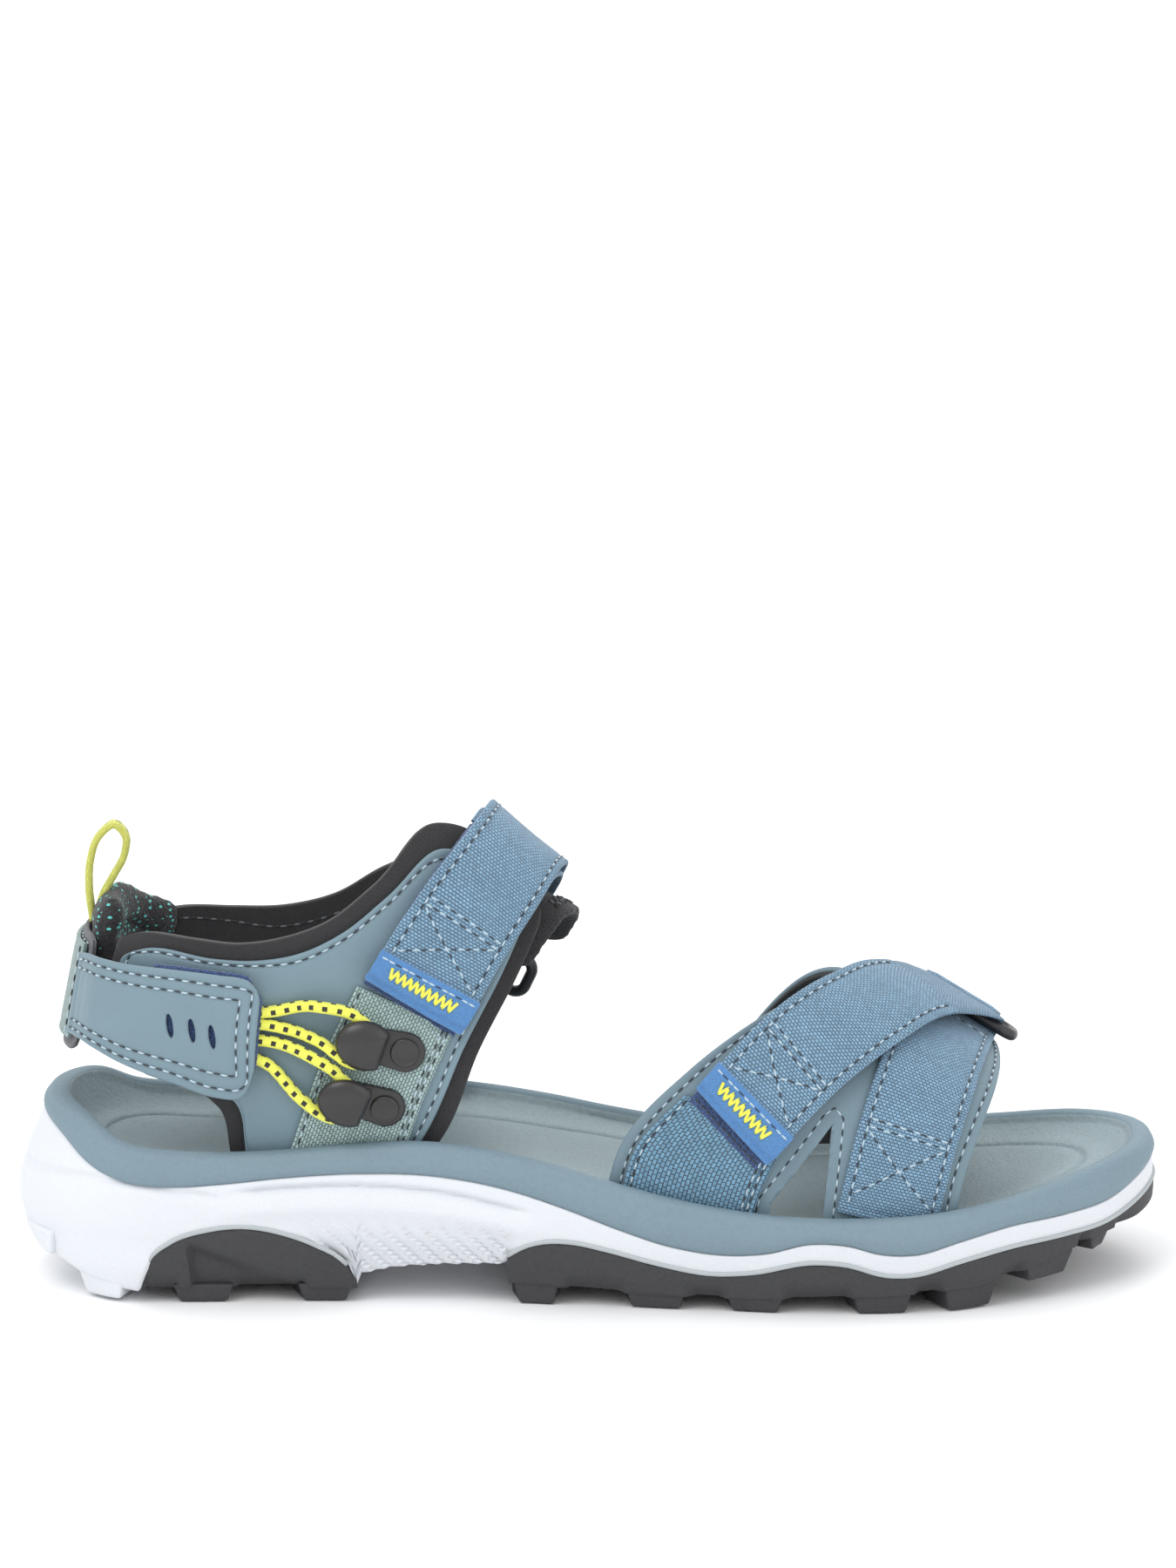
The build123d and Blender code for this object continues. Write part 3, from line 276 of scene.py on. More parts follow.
class Path:
    """A smooth line laid on the form, which can be read at any distance along it."""

    def __init__(self, guide):
        line = onto(smooth_line(guide, 160))
        run = travel(line)
        self.end = run[-1]
        self.s = np.linspace(0, self.end, 120)
        self.p = onto(np.stack([np.interp(self.s, run, line[:, k]) for k in range(3)], -1))
        self.t = unit(np.gradient(self.p, axis=0))

    def at(self, s):
        """Places and headings at distances s, running straight on beyond the ends."""
        p = np.stack([np.interp(s, self.s, self.p[:, k]) for k in range(3)], -1)
        t = np.stack([np.interp(s, self.s, self.t[:, k]) for k in range(3)], -1)
        beyond = s - np.clip(s, 0, self.end)
        return p + beyond[:, None] * t, t

    def ribbon(self, start, end, low, high, columns=70, rows=25):
        """Grid on the form along the path, from low to high either side of it."""
        p, t = self.at(np.linspace(start, end, columns))
        p = onto(p)
        b = unit(np.cross(normal(p), t))
        return onto(p[:, None] + np.linspace(low, high, rows)[None, :, None] * b[:, None])


# ---------------------------------------------------------------- meshes
def mesh_object(name, verts, faces, materials, uv=None, face_material=None, smooth=True):
    """Mesh object from points in millimetres. uv holds one pair per point."""
    mesh = bpy.data.meshes.new(name)
    points = np.asarray(verts, float).reshape(-1, 3) * MM
    mesh.from_pydata(points.tolist(), [], [list(map(int, f)) for f in faces])
    if uv is not None:
        layer = mesh.uv_layers.new(name="UVMap")
        corner = np.empty(len(mesh.loops), dtype=np.int32)
        mesh.loops.foreach_get("vertex_index", corner)
        layer.data.foreach_set("uv", np.asarray(uv, float)[corner].ravel())
    for material in materials:
        mesh.materials.append(material)
    if face_material is not None:
        mesh.polygons.foreach_set("material_index", np.asarray(face_material, dtype=np.int32))
    mesh.polygons.foreach_set("use_smooth", [smooth] * len(mesh.polygons))
    mesh.validate()
    piece = bpy.data.objects.new(name, mesh)
    bpy.context.scene.collection.objects.link(piece)
    return piece


def reworked(piece, *steps):
    """Runs bmesh steps on a piece's mesh, then turns every face outward."""
    work = bmesh.new()
    work.from_mesh(piece.data)
    for step in steps:
        step(work)
    bmesh.ops.recalc_face_normals(work, faces=work.faces)
    work.to_mesh(piece.data)
    work.free()


def add_body(verts, faces, rings):
    """Adds a closed body through rings of as many points each, capped at both ends."""
    rings = np.asarray(rings, float)
    index = len(verts) + np.arange(rings.shape[0] * rings.shape[1]).reshape(rings.shape[:2])
    verts.extend(rings.reshape(-1, 3))
    for low, top in zip(index, index[1:]):
        faces.extend(zip(low, np.roll(low, -1), np.roll(top, -1), top))
    faces += [index[0][::-1], index[-1]]


def body_through(name, rings, materials=(), uv=None, smooth=True):
    """A closed mesh through rings of points."""
    verts, faces = [], []
    add_body(verts, faces, rings)
    piece = mesh_object(name, verts, faces, materials, uv, smooth=smooth)
    reworked(piece)
    return piece


def place(piece, slot, *replaced, body="sandal"):
    """Puts a finished piece on its body and hides the CAD nodes that it stands for. slot is not used."""
    if replaced:
        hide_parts(*replaced)
    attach(piece, body)
    return piece


def applied(piece):
    """The piece with its modifiers made part of its mesh."""
    depsgraph = bpy.context.evaluated_depsgraph_get()
    mesh = bpy.data.meshes.new_from_object(piece.evaluated_get(depsgraph))
    piece.modifiers.clear()
    old = piece.data
    piece.data = mesh
    bpy.data.meshes.remove(old)
    return piece


HEM = [0, 0.08, 0.25, 0.6, 1.1, 1.6, 2.1, 2.7]


def marks(length, pitch):
    """Places across a sheet: close together at both edges and evenly spaced between them."""
    hem = [d for d in HEM if d < length / 2 - pitch / 2]
    middle = np.linspace(hem[-1], length - hem[-1], int((length - 2 * hem[-1]) / pitch) + 2)
    return np.concatenate([hem[:-1], middle, length - np.array(hem[:-1])[::-1]])


class Patch:
    """A sheet's surface on the form, read in millimetres along (a) and across (b).

    corners are the radii at the start low, end low, end high and start high corners. A taut sheet
    bridges hollows across its width, and one with a bar ends straight over that bar.
    """

    def __init__(self, grid, lift, thickness, corners=(0, 0, 0, 0), taut=False, bar=None):
        self.grid, self.lift, self.thickness, self.corners = grid, lift, thickness, corners
        self.taut, self.bar = taut, bar
        self.long = np.linalg.norm(np.diff(grid[:, grid.shape[1] // 2], axis=0), axis=1).sum()
        self.wide = np.linalg.norm(np.diff(grid[grid.shape[0] // 2], axis=0), axis=1).sum()

    def rounded(self, a, b):
        a, b = np.array(a, float), np.array(b, float)
        ends = ((0, 0), (1, 0), (1, 1), (0, 1))
        for radius, (far_a, far_b) in zip(self.corners, ends):
            if radius <= 0:
                continue
            p = radius - (self.long - a if far_a else a)
            q = radius - (self.wide - b if far_b else b)
            near = (p > 0) & (q > 0)
            p2 = p * np.sqrt(np.clip(1 - q**2 / (2 * radius**2), 0, 1))
            q2 = q * np.sqrt(np.clip(1 - p**2 / (2 * radius**2), 0, 1))
            a = np.where(near, self.long - radius + p2 if far_a else radius - p2, a)
            b = np.where(near, self.wide - radius + q2 if far_b else radius - q2, b)
        return a, b

    def base(self, a, b):
        """Points of the form under a, b."""
        a, b = self.rounded(a, b)
        n, m = self.grid.shape[:2]
        u = np.clip(a / self.long, 0, 1) * (n - 1)
        v = np.clip(b / self.wide, 0, 1) * (m - 1)
        i, j = np.minimum(u.astype(int), n - 2), np.minimum(v.astype(int), m - 2)
        s, t = (u - i)[..., None], (v - j)[..., None]
        g = self.grid
        low = g[i, j] * (1 - s) + g[i + 1, j] * s
        high = g[i, j + 1] * (1 - s) + g[i + 1, j + 1] * s
        return onto(low * (1 - t) + high * t, 2)

    def seat(self, a, b):
        """Points that the sheet's lift is counted from, and the directions it is counted in."""
        p = self.base(a, b)
        n = normal(p)
        if self.taut:
            low, high = self.base(a, np.zeros_like(b)), self.base(a, np.full_like(b, self.wide))
            share = np.clip(b / self.wide, 0, 1)[..., None]
            hollow = ((low * (1 - share) + high * share - p) * n).sum(-1)
            p = p + np.clip(hollow, 0, None)[..., None] * n
        if self.bar:
            middle, along, onward, outward = self.bar
            ends = self.grid[-1, -1] - self.grid[-1, 0]
            across = (b - self.wide / 2) * np.sign(ends @ along)
            seat = middle + across[..., None] * along + BAR_RUN * (a - self.long)[..., None] * onward
            seat = seat + (BAR_RADIUS + GAP - self.lift_at(a))[..., None] * outward
            w = ease((a - self.long + BAR_REACH) / BAR_REACH)[..., None]
            p, n = p * (1 - w) + seat * w, n * (1 - w) + outward * w
            n = unit(n)
        return p, n

    def lift_at(self, a):
        return self.lift(a) if callable(self.lift) else np.full(np.shape(a), float(self.lift))

    def over(self, a, b, extra=0.0):
        """Points on the sheet's outer face at a, b, raised by extra, with the normals."""
        a, b = np.array(a, float), np.array(b, float)
        p, n = self.seat(a, b)
        return p + (self.lift_at(a) + self.thickness + extra)[..., None] * n, n

    def line(self, *corners, step=0.4):
        """Points along straight runs between (a, b) corners. A negative number counts from the far edge."""
        spots = [(a if a >= 0 else self.long + a, b if b >= 0 else self.wide + b) for a, b in corners]
        runs = []
        for (a0, b0), (a1, b1) in zip(spots, spots[1:]):
            count = max(2, int(math.hypot(a1 - a0, b1 - b0) / step))
            runs.append(np.linspace((a0, b0), (a1, b1), count, endpoint=False))
        runs.append(np.array([spots[-1]]))
        run = np.concatenate(runs)
        return self.over(run[:, 0], run[:, 1])


def sheet(name, patch, material, pitch=1.3, grooves=(), open_end=False):
    """Closed sheet over a patch, with rounded edges. grooves are sewn-down lines' distances from the edge."""
    a, b = np.meshgrid(marks(patch.long, pitch), marks(patch.wide, pitch), indexing="ij")
    edge = np.minimum(a, np.minimum(b, patch.wide - b))
    if not open_end:
        edge = np.minimum(edge, patch.long - a)
    half = patch.thickness / 2
    full = np.sqrt(1 - (1 - np.clip(edge / min(0.6, half), 0, 1)) ** 2)
    p, n = patch.seat(a, b)
    lift = patch.lift_at(a)
    press = np.zeros_like(edge)
    for groove in grooves:
        press += 0.3 * bell(edge - groove, 0.55)
    rise = half * full - press
    top = p + (lift + half + rise)[..., None] * n
    under = p + (lift + half - half * full)[..., None] * n
    rows, columns = a.shape
    index = np.arange(rows * columns).reshape(rows, columns)
    below = index + rows * columns
    rim = edge < 1e-6
    below[rim] = index[rim]
    quads = np.stack([index[:-1, :-1], index[1:, :-1], index[1:, 1:], index[:-1, 1:]], -1).reshape(-1, 4)
    backs = np.stack([below[:-1, :-1], below[:-1, 1:], below[1:, 1:], below[1:, :-1]], -1).reshape(-1, 4)
    c = (rows // 2, columns // 2)
    turned = np.cross(p[c[0] + 1, c[1]] - p[c], p[c[0], c[1] + 1] - p[c]) @ n[c] < 0
    faces = np.concatenate([quads, backs])
    if open_end:
        cap = np.stack([index[-1, :-1], below[-1, :-1], below[-1, 1:], index[-1, 1:]], -1)
        faces = np.concatenate([faces, cap])
    if turned:
        faces = faces[:, ::-1]
    verts = np.concatenate([top.reshape(-1, 3), under.reshape(-1, 3)])
    uv = np.column_stack([a.ravel(), b.ravel()])
    uv = np.concatenate([uv, uv])
    used, packed = np.unique(faces, return_inverse=True)
    return mesh_object(name, verts[used], packed.reshape(faces.shape), [material], uv[used])


def threads(name, lines, materials, long=1.6, gap=0.2, radius=0.26, sink=0.06, arch=0.1):
    """Sewn lines: short rounded threads end to end, alternating between the materials."""
    rings = np.array([-1, -0.72, 0, 0.72, 1])
    widths = np.array([0.35, 0.85, 1.0, 0.85, 0.35]) * radius
    angle = np.radians(np.arange(0, 360, 60))[:, None]
    verts, faces, kinds = [], [], []
    for points, normals in lines:
        run = travel(points)
        count = max(1, int(run[-1] / (long + gap)))
        pace = run[-1] / count
        for k in range(count):
            s = (k + 0.5) * pace + rings * (pace - gap) / 2
            p, n = (np.stack([np.interp(s, run, row) for row in part.T], -1) for part in (points, normals))
            n, t = unit(n), unit(np.gradient(p, axis=0))
            dark = k % len(materials)
            centre = p + ((1 - rings**2) * arch * (1 - 0.6 * dark) - sink)[:, None] * n
            out = np.cos(angle) * np.cross(n, t)[:, None] + np.sin(angle) * n[:, None]
            before = len(faces)
            add_body(verts, faces, centre[:, None] + widths[:, None, None] * out)
            kinds += [dark] * (len(faces) - before)
    return mesh_object(name, verts, faces, materials, face_material=kinds)


def tube(name, points, radius, material, around=12, flat=1.0, up=(0.0, 0.0, 1.0)):
    """Round or flattened cord along points. up fixes the way its flat face looks."""
    p = np.asarray(points, float)
    t = unit(np.gradient(p, axis=0))
    n = np.broadcast_to(up, p.shape)
    n = unit(n - (n * t).sum(1)[:, None] * t)
    angle = np.linspace(0, 2 * np.pi, around, endpoint=False)[:, None]
    cos, sin = np.cos(angle), np.sin(angle)
    if flat != 1.0:
        squared = (cos**4 + sin**4) ** -0.25
        cos, sin = cos * squared, sin * squared
    verts, faces = [], []
    add_body(verts, faces, p[:, None] + radius * (flat * cos * np.cross(t, n)[:, None] + sin * n[:, None]))
    piece = mesh_object(name, verts, faces, [material])
    layer = piece.data.uv_layers.new(name="UVMap")
    run = travel(p)
    for face in piece.data.polygons:
        spots = [piece.data.loops[k].vertex_index for k in face.loop_indices]
        wraps = len(spots) == 4 and {spot % around for spot in spots} == {0, around - 1}
        for k, spot in zip(face.loop_indices, spots):
            step = spot % around
            layer.data[k].uv = (run[spot // around], (around if wraps and step == 0 else step) / around)
    return piece


# ---------------------------------------------------------------- materials
def colour(red, green, blue):
    """Linear colour from 8-bit sRGB values."""
    parts = [v / 255 for v in (red, green, blue)]
    return tuple(v / 12.92 if v <= 0.04045 else ((v + 0.055) / 1.055) ** 2.4 for v in parts) + (1.0,)


class Look:
    """A procedural material being put together. Its patterns are read in millimetres."""

    def __init__(self, name, roughness, **constants):
        self.material = bpy.data.materials.new(name)
        self.material.use_nodes = True
        self.tree = self.material.node_tree
        self.shader = self.tree.nodes["Principled BSDF"]
        self.shader.inputs["Roughness"].default_value = roughness
        for socket, value in constants.items():
            self.shader.inputs[socket.replace("_", " ")].default_value = value
        self.place = self.tree.nodes.new("ShaderNodeTexCoord")

    def add(self, kind, inputs=(), **settings):
        made = self.tree.nodes.new("ShaderNode" + kind)
        for key, value in settings.items():
            setattr(made, key, value)
        for key, value in dict(inputs).items():
            if isinstance(value, bpy.types.NodeSocket):
                self.tree.links.new(value, made.inputs[key])
            else:
                made.inputs[key].default_value = value
        return made

    def math(self, operation, *values, clamp=False):
        return self.add("Math", dict(enumerate(values)), operation=operation, use_clamp=clamp).outputs[0]

    def sheet_place(self, turned=False):
        """The place on a sheet, in millimetres along and across."""
        if not turned:
            return self.place.outputs["UV"]
        parts = self.add("SeparateXYZ", {0: self.place.outputs["UV"]})
        return self.add("CombineXYZ", {0: parts.outputs[1], 1: parts.outputs[0]}).outputs[0]

    def solid_place(self, stretch=(1.0, 1.0, 1.0)):
        """The place in space, in millimetres, stretched for a drawn-out pattern."""
        scale = [1000.0 * s for s in stretch]
        mapping = self.add("Mapping", {"Vector": self.place.outputs["Object"], "Scale": scale})
        return mapping.outputs["Vector"]

    def noise(self, place, scale, detail=2.0):
        return self.add("TexNoise", {"Vector": place, "Scale": scale, "Detail": detail}).outputs["Fac"]

    def cells(self, place, scale, randomness=1.0, feature="F1"):
        """Distance from the middles of scattered cells."""
        settings = {"Vector": place, "Scale": scale, "Randomness": randomness}
        return self.add("TexVoronoi", settings, feature=feature).outputs["Distance"]

    def twist(self, scale, distortion):
        """Slanting bands, as of twisted or braided yarn."""
        settings = {"Vector": self.solid_place(), "Scale": scale, "Distortion": distortion}
        return self.add("TexWave", settings, bands_direction="DIAGONAL").outputs["Fac"]

    def floats(self, place, colours, cell, mortar, offset=0.5):
        """Rows of woven floats. colours are their two tones and the gap between them."""
        settings = dict(zip(("Color1", "Color2", "Mortar", "Brick Width", "Row Height"), (*colours, *cell)))
        settings |= {"Vector": place, "Scale": 1.0, "Mortar Size": mortar, "Mortar Smooth": 0.9}
        return self.add("TexBrick", settings, offset=offset).outputs

    def between(self, fac, low, high):
        """A number from low to high as fac goes from 0 to 1."""
        return self.add("MapRange", {"Value": fac, "To Min": low, "To Max": high}).outputs[0]

    def mix(self, fac, one, two, blend="MIX"):
        mixed = self.add("Mix", {0: fac}, data_type="RGBA", blend_type=blend)
        for index, value in ((6, one), (7, two)):
            if isinstance(value, bpy.types.NodeSocket):
                self.tree.links.new(value, mixed.inputs[index])
            else:
                mixed.inputs[index].default_value = value
        return mixed.outputs[2]

    def paint(self, socket):
        self.tree.links.new(socket, self.shader.inputs["Base Color"])

    def rough(self, socket):
        self.tree.links.new(socket, self.shader.inputs["Roughness"])

    def relief(self, height, depth, strength=1.0):
        """Bump of this height pattern, depth millimetres deep."""
        bump = self.add("Bump", {"Height": height, "Distance": depth * MM, "Strength": strength})
        self.tree.links.new(bump.outputs["Normal"], self.shader.inputs["Normal"])


def shade(rgb, factor):
    """A colour made darker or lighter."""
    return tuple(min(1.0, c * factor) for c in rgb[:3]) + (1.0,)


def woven(name, rgb, gap_rgb, cell, depth=0.3, roughness=0.82, sheen=0.25, mortar=0.13):
    """Webbing or knit: rows of raised floats with dark gaps between, each float a little different."""
    look = Look(name, roughness, Sheen_Weight=sheen, Sheen_Roughness=0.5)
    place = look.sheet_place(turned=True)
    brick = look.floats(place, (shade(rgb, 1.14), shade(rgb, 0.86), gap_rgb), cell, mortar)
    patchy = look.between(look.noise(look.sheet_place(), 0.09, 3.0), 0.84, 1.12)
    tint = look.add("CombineColor", {0: patchy, 1: patchy, 2: patchy}).outputs[0]
    look.paint(look.mix(1.0, brick["Color"], tint, "MULTIPLY"))
    fuzz = look.noise(look.sheet_place(), 5.0, 2.0)
    raised = look.math("SUBTRACT", 1.0, brick["Fac"])
    look.relief(look.math("MULTIPLY_ADD", fuzz, 0.25, raised), depth)
    return look.material


def hide(name, rgb, roughness=0.5):
    """Smooth microfibre leather: a fine pore grain, faint cloudy colour and uneven gloss."""
    look = Look(name, roughness, Specular_IOR_Level=0.4, Sheen_Weight=0.08)
    place = look.solid_place()
    cloud = look.noise(place, 0.06, 4.0)
    fine = look.noise(place, 2.4, 3.0)
    tone = look.mix(cloud, shade(rgb, 0.9), shade(rgb, 1.08))
    look.paint(look.mix(look.between(fine, 0.0, 0.35), tone, shade(rgb, 0.82)))
    look.rough(look.between(fine, roughness - 0.08, roughness + 0.12))
    look.relief(look.math("MULTIPLY_ADD", look.cells(place, 1.7), 0.5, fine), 0.06)
    return look.material


def foam(name, rgb, grain=1.2, depth=0.12, roughness=0.6, mottle=0.12):
    """Moulded foam or rubber with a pebbled face."""
    look = Look(name, roughness, Specular_IOR_Level=0.35)
    place = look.solid_place()
    pebble = look.cells(place, grain, feature="SMOOTH_F1")
    fine = look.noise(place, grain * 1.6, 3.0)
    cloud = look.noise(place, 0.05, 3.0)
    tone = look.mix(cloud, shade(rgb, 1 - mottle), shade(rgb, 1 + mottle * 0.6))
    look.paint(look.mix(look.between(pebble, 0.0, 0.75), tone, shade(rgb, 1 - 2 * mottle)))
    look.rough(look.between(fine, roughness - 0.1, roughness + 0.12))
    look.relief(look.math("MULTIPLY_ADD", pebble, 0.8, fine), depth)
    return look.material


def moulded(name, rgb, roughness=0.3):
    """Hard glossy plastic with a faint moulding texture and scuffs."""
    look = Look(name, roughness, Coat_Weight=0.15, Coat_Roughness=0.2)
    place = look.solid_place()
    fine = look.noise(place, 1.8, 4.0)
    look.paint(look.mix(look.noise(place, 0.25, 3.0), shade(rgb, 0.8), shade(rgb, 1.25)))
    look.rough(look.between(fine, roughness - 0.08, roughness + 0.16))
    look.relief(fine, 0.025)
    return look.material


def spun(name, rgb):
    """Sewing thread: a fine twist and an uneven tone."""
    look = Look(name, 0.55, Sheen_Weight=0.3)
    twist = look.twist(1.6, 1.5)
    look.paint(look.mix(twist, shade(rgb, 0.8), shade(rgb, 1.1)))
    look.relief(twist, 0.05)
    return look.material


def bristle(name, rgb, dark):
    """Hook and loop tape: a dense felt of loops."""
    look = Look(name, 0.95, Sheen_Weight=0.4)
    place = look.solid_place()
    tuft = look.cells(place, 1.9)
    look.paint(look.mix(look.between(tuft, 0.0, 1.0), rgb, dark))
    look.relief(look.math("ADD", tuft, look.noise(place, 3.0)), 0.3)
    return look.material


def flecked(name):
    """Black knit with short teal flecks in slanting rows."""
    look = Look(name, 0.9, Sheen_Weight=0.2)
    cell = look.cells(look.solid_place((0.38, 0.38, 0.7)), 1.0, randomness=0.55)
    fleck = look.math("LESS_THAN", cell, 0.26)
    knit_cell = look.cells(look.solid_place(), 1.3)
    ground = look.mix(knit_cell, colour(44, 43, 46), colour(20, 20, 22))
    look.paint(look.mix(fleck, ground, colour(88, 190, 182)))
    look.relief(look.math("SUBTRACT", look.math("MULTIPLY", fleck, 0.5), knit_cell), 0.3)
    return look.material


def elastic(name):
    """Yellow elastic cord: a braided cover with pairs of black ticks."""
    look = Look(name, 0.6, Sheen_Weight=0.2)
    parts = look.add("SeparateXYZ", {0: look.place.outputs["UV"]})
    along, around = parts.outputs[0], parts.outputs[1]
    ticks = None
    for shift_along, shift_around in ((0.0, 0.83), (0.5, 0.58), (0.0, 0.33), (0.5, 0.08)):
        a = look.math("FRACT", look.math("MULTIPLY_ADD", along, 1 / TICK_PITCH, shift_along))
        b = look.math("FRACT", look.math("ADD", around, shift_around))
        inside = look.math("MULTIPLY", look.math("LESS_THAN", a, 0.36), look.math("LESS_THAN", b, 0.14))
        ticks = inside if ticks is None else look.math("MAXIMUM", ticks, inside)
    braid = look.twist(1.5, 0.8)
    cover = look.mix(braid, colour(226, 228, 66), colour(243, 243, 112))
    look.paint(look.mix(ticks, cover, colour(38, 36, 32)))
    look.relief(braid, 0.06)
    return look.material


TICK_PITCH = 3.4
LEATHER_BLUE = colour(116, 139, 150)
STRAP_BLUE = colour(120, 157, 184)
leather = hide("leather", LEATHER_BLUE)
vamp_leather = hide("vamp_leather", colour(112, 134, 145), 0.55)
KNIT_BLACK = colour(47, 46, 48), colour(20, 20, 22)
neoprene = woven("neoprene", *KNIT_BLACK, (0.9, 0.5), depth=0.12, sheen=0.15, mortar=0.1)
strap_weave = woven("strap_weave", STRAP_BLUE, colour(58, 86, 108), (1.05, 0.72))
loop_weave = woven("loop_weave", colour(106, 148, 174), colour(42, 72, 94), (1.5, 1.05), 0.45, mortar=0.16)
pale_weave = woven("pale_weave", colour(162, 186, 184), colour(92, 117, 120), (1.25, 0.8), 0.4)
strip_weave = woven("strip_weave", colour(158, 180, 177), colour(110, 134, 134), (0.9, 0.7), depth=0.3)
link_weave = woven("link_weave", colour(70, 112, 128), colour(30, 52, 62), (1.2, 0.9), depth=0.35)
grey_weave = woven("grey_weave", colour(112, 112, 117), colour(70, 70, 74), (3.0, 0.8), depth=0.35)
tab_blue = woven("tab_blue", colour(88, 143, 199), colour(70, 120, 176), (0.5, 0.4), 0.08, roughness=0.7)
foot_side = foam("foot_side", colour(122, 143, 154), grain=1.1, depth=0.10, mottle=0.08)
foot_top = foam("foot_top", colour(156, 173, 178), grain=1.0, depth=0.2, roughness=0.7, mottle=0.14)
white_foam = foam("white_foam", colour(216, 219, 224), 1.6, 0.07, roughness=0.55, mottle=0.03)
lip_grey = foam("lip_grey", colour(176, 182, 184), grain=1.6, depth=0.05, mottle=0.05)
rubber = foam("rubber", colour(64, 64, 66), grain=1.1, depth=0.16, roughness=0.62, mottle=0.14)
pile_blue = bristle("pile_blue", colour(72, 100, 150), colour(30, 44, 76))
teal_fleck = flecked("teal_fleck")
cord_yellow = elastic("cord_yellow")
hook_black = moulded("hook_black", colour(40, 37, 38), 0.3)
ring_black = moulded("ring_black", colour(36, 36, 38), 0.38)
pale_thread = spun("pale_thread", colour(188, 208, 219))
dark_thread = spun("dark_thread", colour(34, 46, 56))
black_thread = spun("black_thread", colour(14, 14, 15))
grey_thread = spun("grey_thread", colour(104, 108, 112))
yellow_thread = spun("yellow_thread", colour(240, 236, 84))
TWO_TONE = [pale_thread, dark_thread]


# ---------------------------------------------------------------- the uppers' sheets
def sewn_sheet(name, patch, material, seams=(), replaced=(), body="sandal", stitch=TWO_TONE, **details):
    """A sheet with its sewn lines. The lines are a piece of their own."""
    slot = replaced[0] if replaced else name
    piece = sheet(name, patch, material, **details)
    place(piece, slot, *replaced, body=body)
    if seams:
        lines = [patch.line(*seam) for seam in seams]
        place(threads(name + "_stitching", lines, stitch), slot, body=body)
    return piece


def cut(piece, cutters):
    """Cuts closed meshes out of a piece."""
    for cutter in cutters:
        modifier = piece.modifiers.new("cut", "BOOLEAN")
        modifier.operation = "DIFFERENCE"
        modifier.solver = "EXACT"
        modifier.object = cutter
    applied(piece)
    for cutter in cutters:
        bpy.data.objects.remove(cutter, do_unlink=True)


def prism(outline, near=-70.0, far=-8.0):
    """Closed mesh through the outer wall along Y, from a side-view outline."""
    return body_through("cutter", [[(x, y, z) for x, z in outline] for y in (near, far)], smooth=False)


def slot_outline(x, z, long=6.2, wide=1.7, lean=math.radians(97.0)):
    """Leaning oval round x, z."""
    t = np.linspace(0, 2 * np.pi, 24, endpoint=False)
    u, v = long / 2 * np.cos(t), wide / 2 * np.sin(t)
    c, s = math.cos(lean), math.sin(lean)
    return np.stack([x + u * c - v * s, z + u * s + v * c], -1)


def quarter(side, name, corner, lining, shell):
    """Leather over a lining that stands out past its edges. Returns the lining's surface."""
    lining = Patch(rib_grid(walls(side, *lining)), -LINING, LINING - SKIN_GAP, (7, 0, 7, corner))
    sewn_sheet(f"{name}_lining", lining, neoprene, replaced=[f"{name}_quarter_lining"])
    shell = Patch(rib_grid(walls(side, *shell)), 0, LEATHER, (5, 0, 6, 8))
    d = QUARTER_SEAM
    seam = [(d, 4), (d, -d), (-d, -d), (-d, 1)]
    sewn_sheet(f"{name}_shell", shell, leather, [seam], [f"{name}_quarter"], grooves=(d,))
    return lining


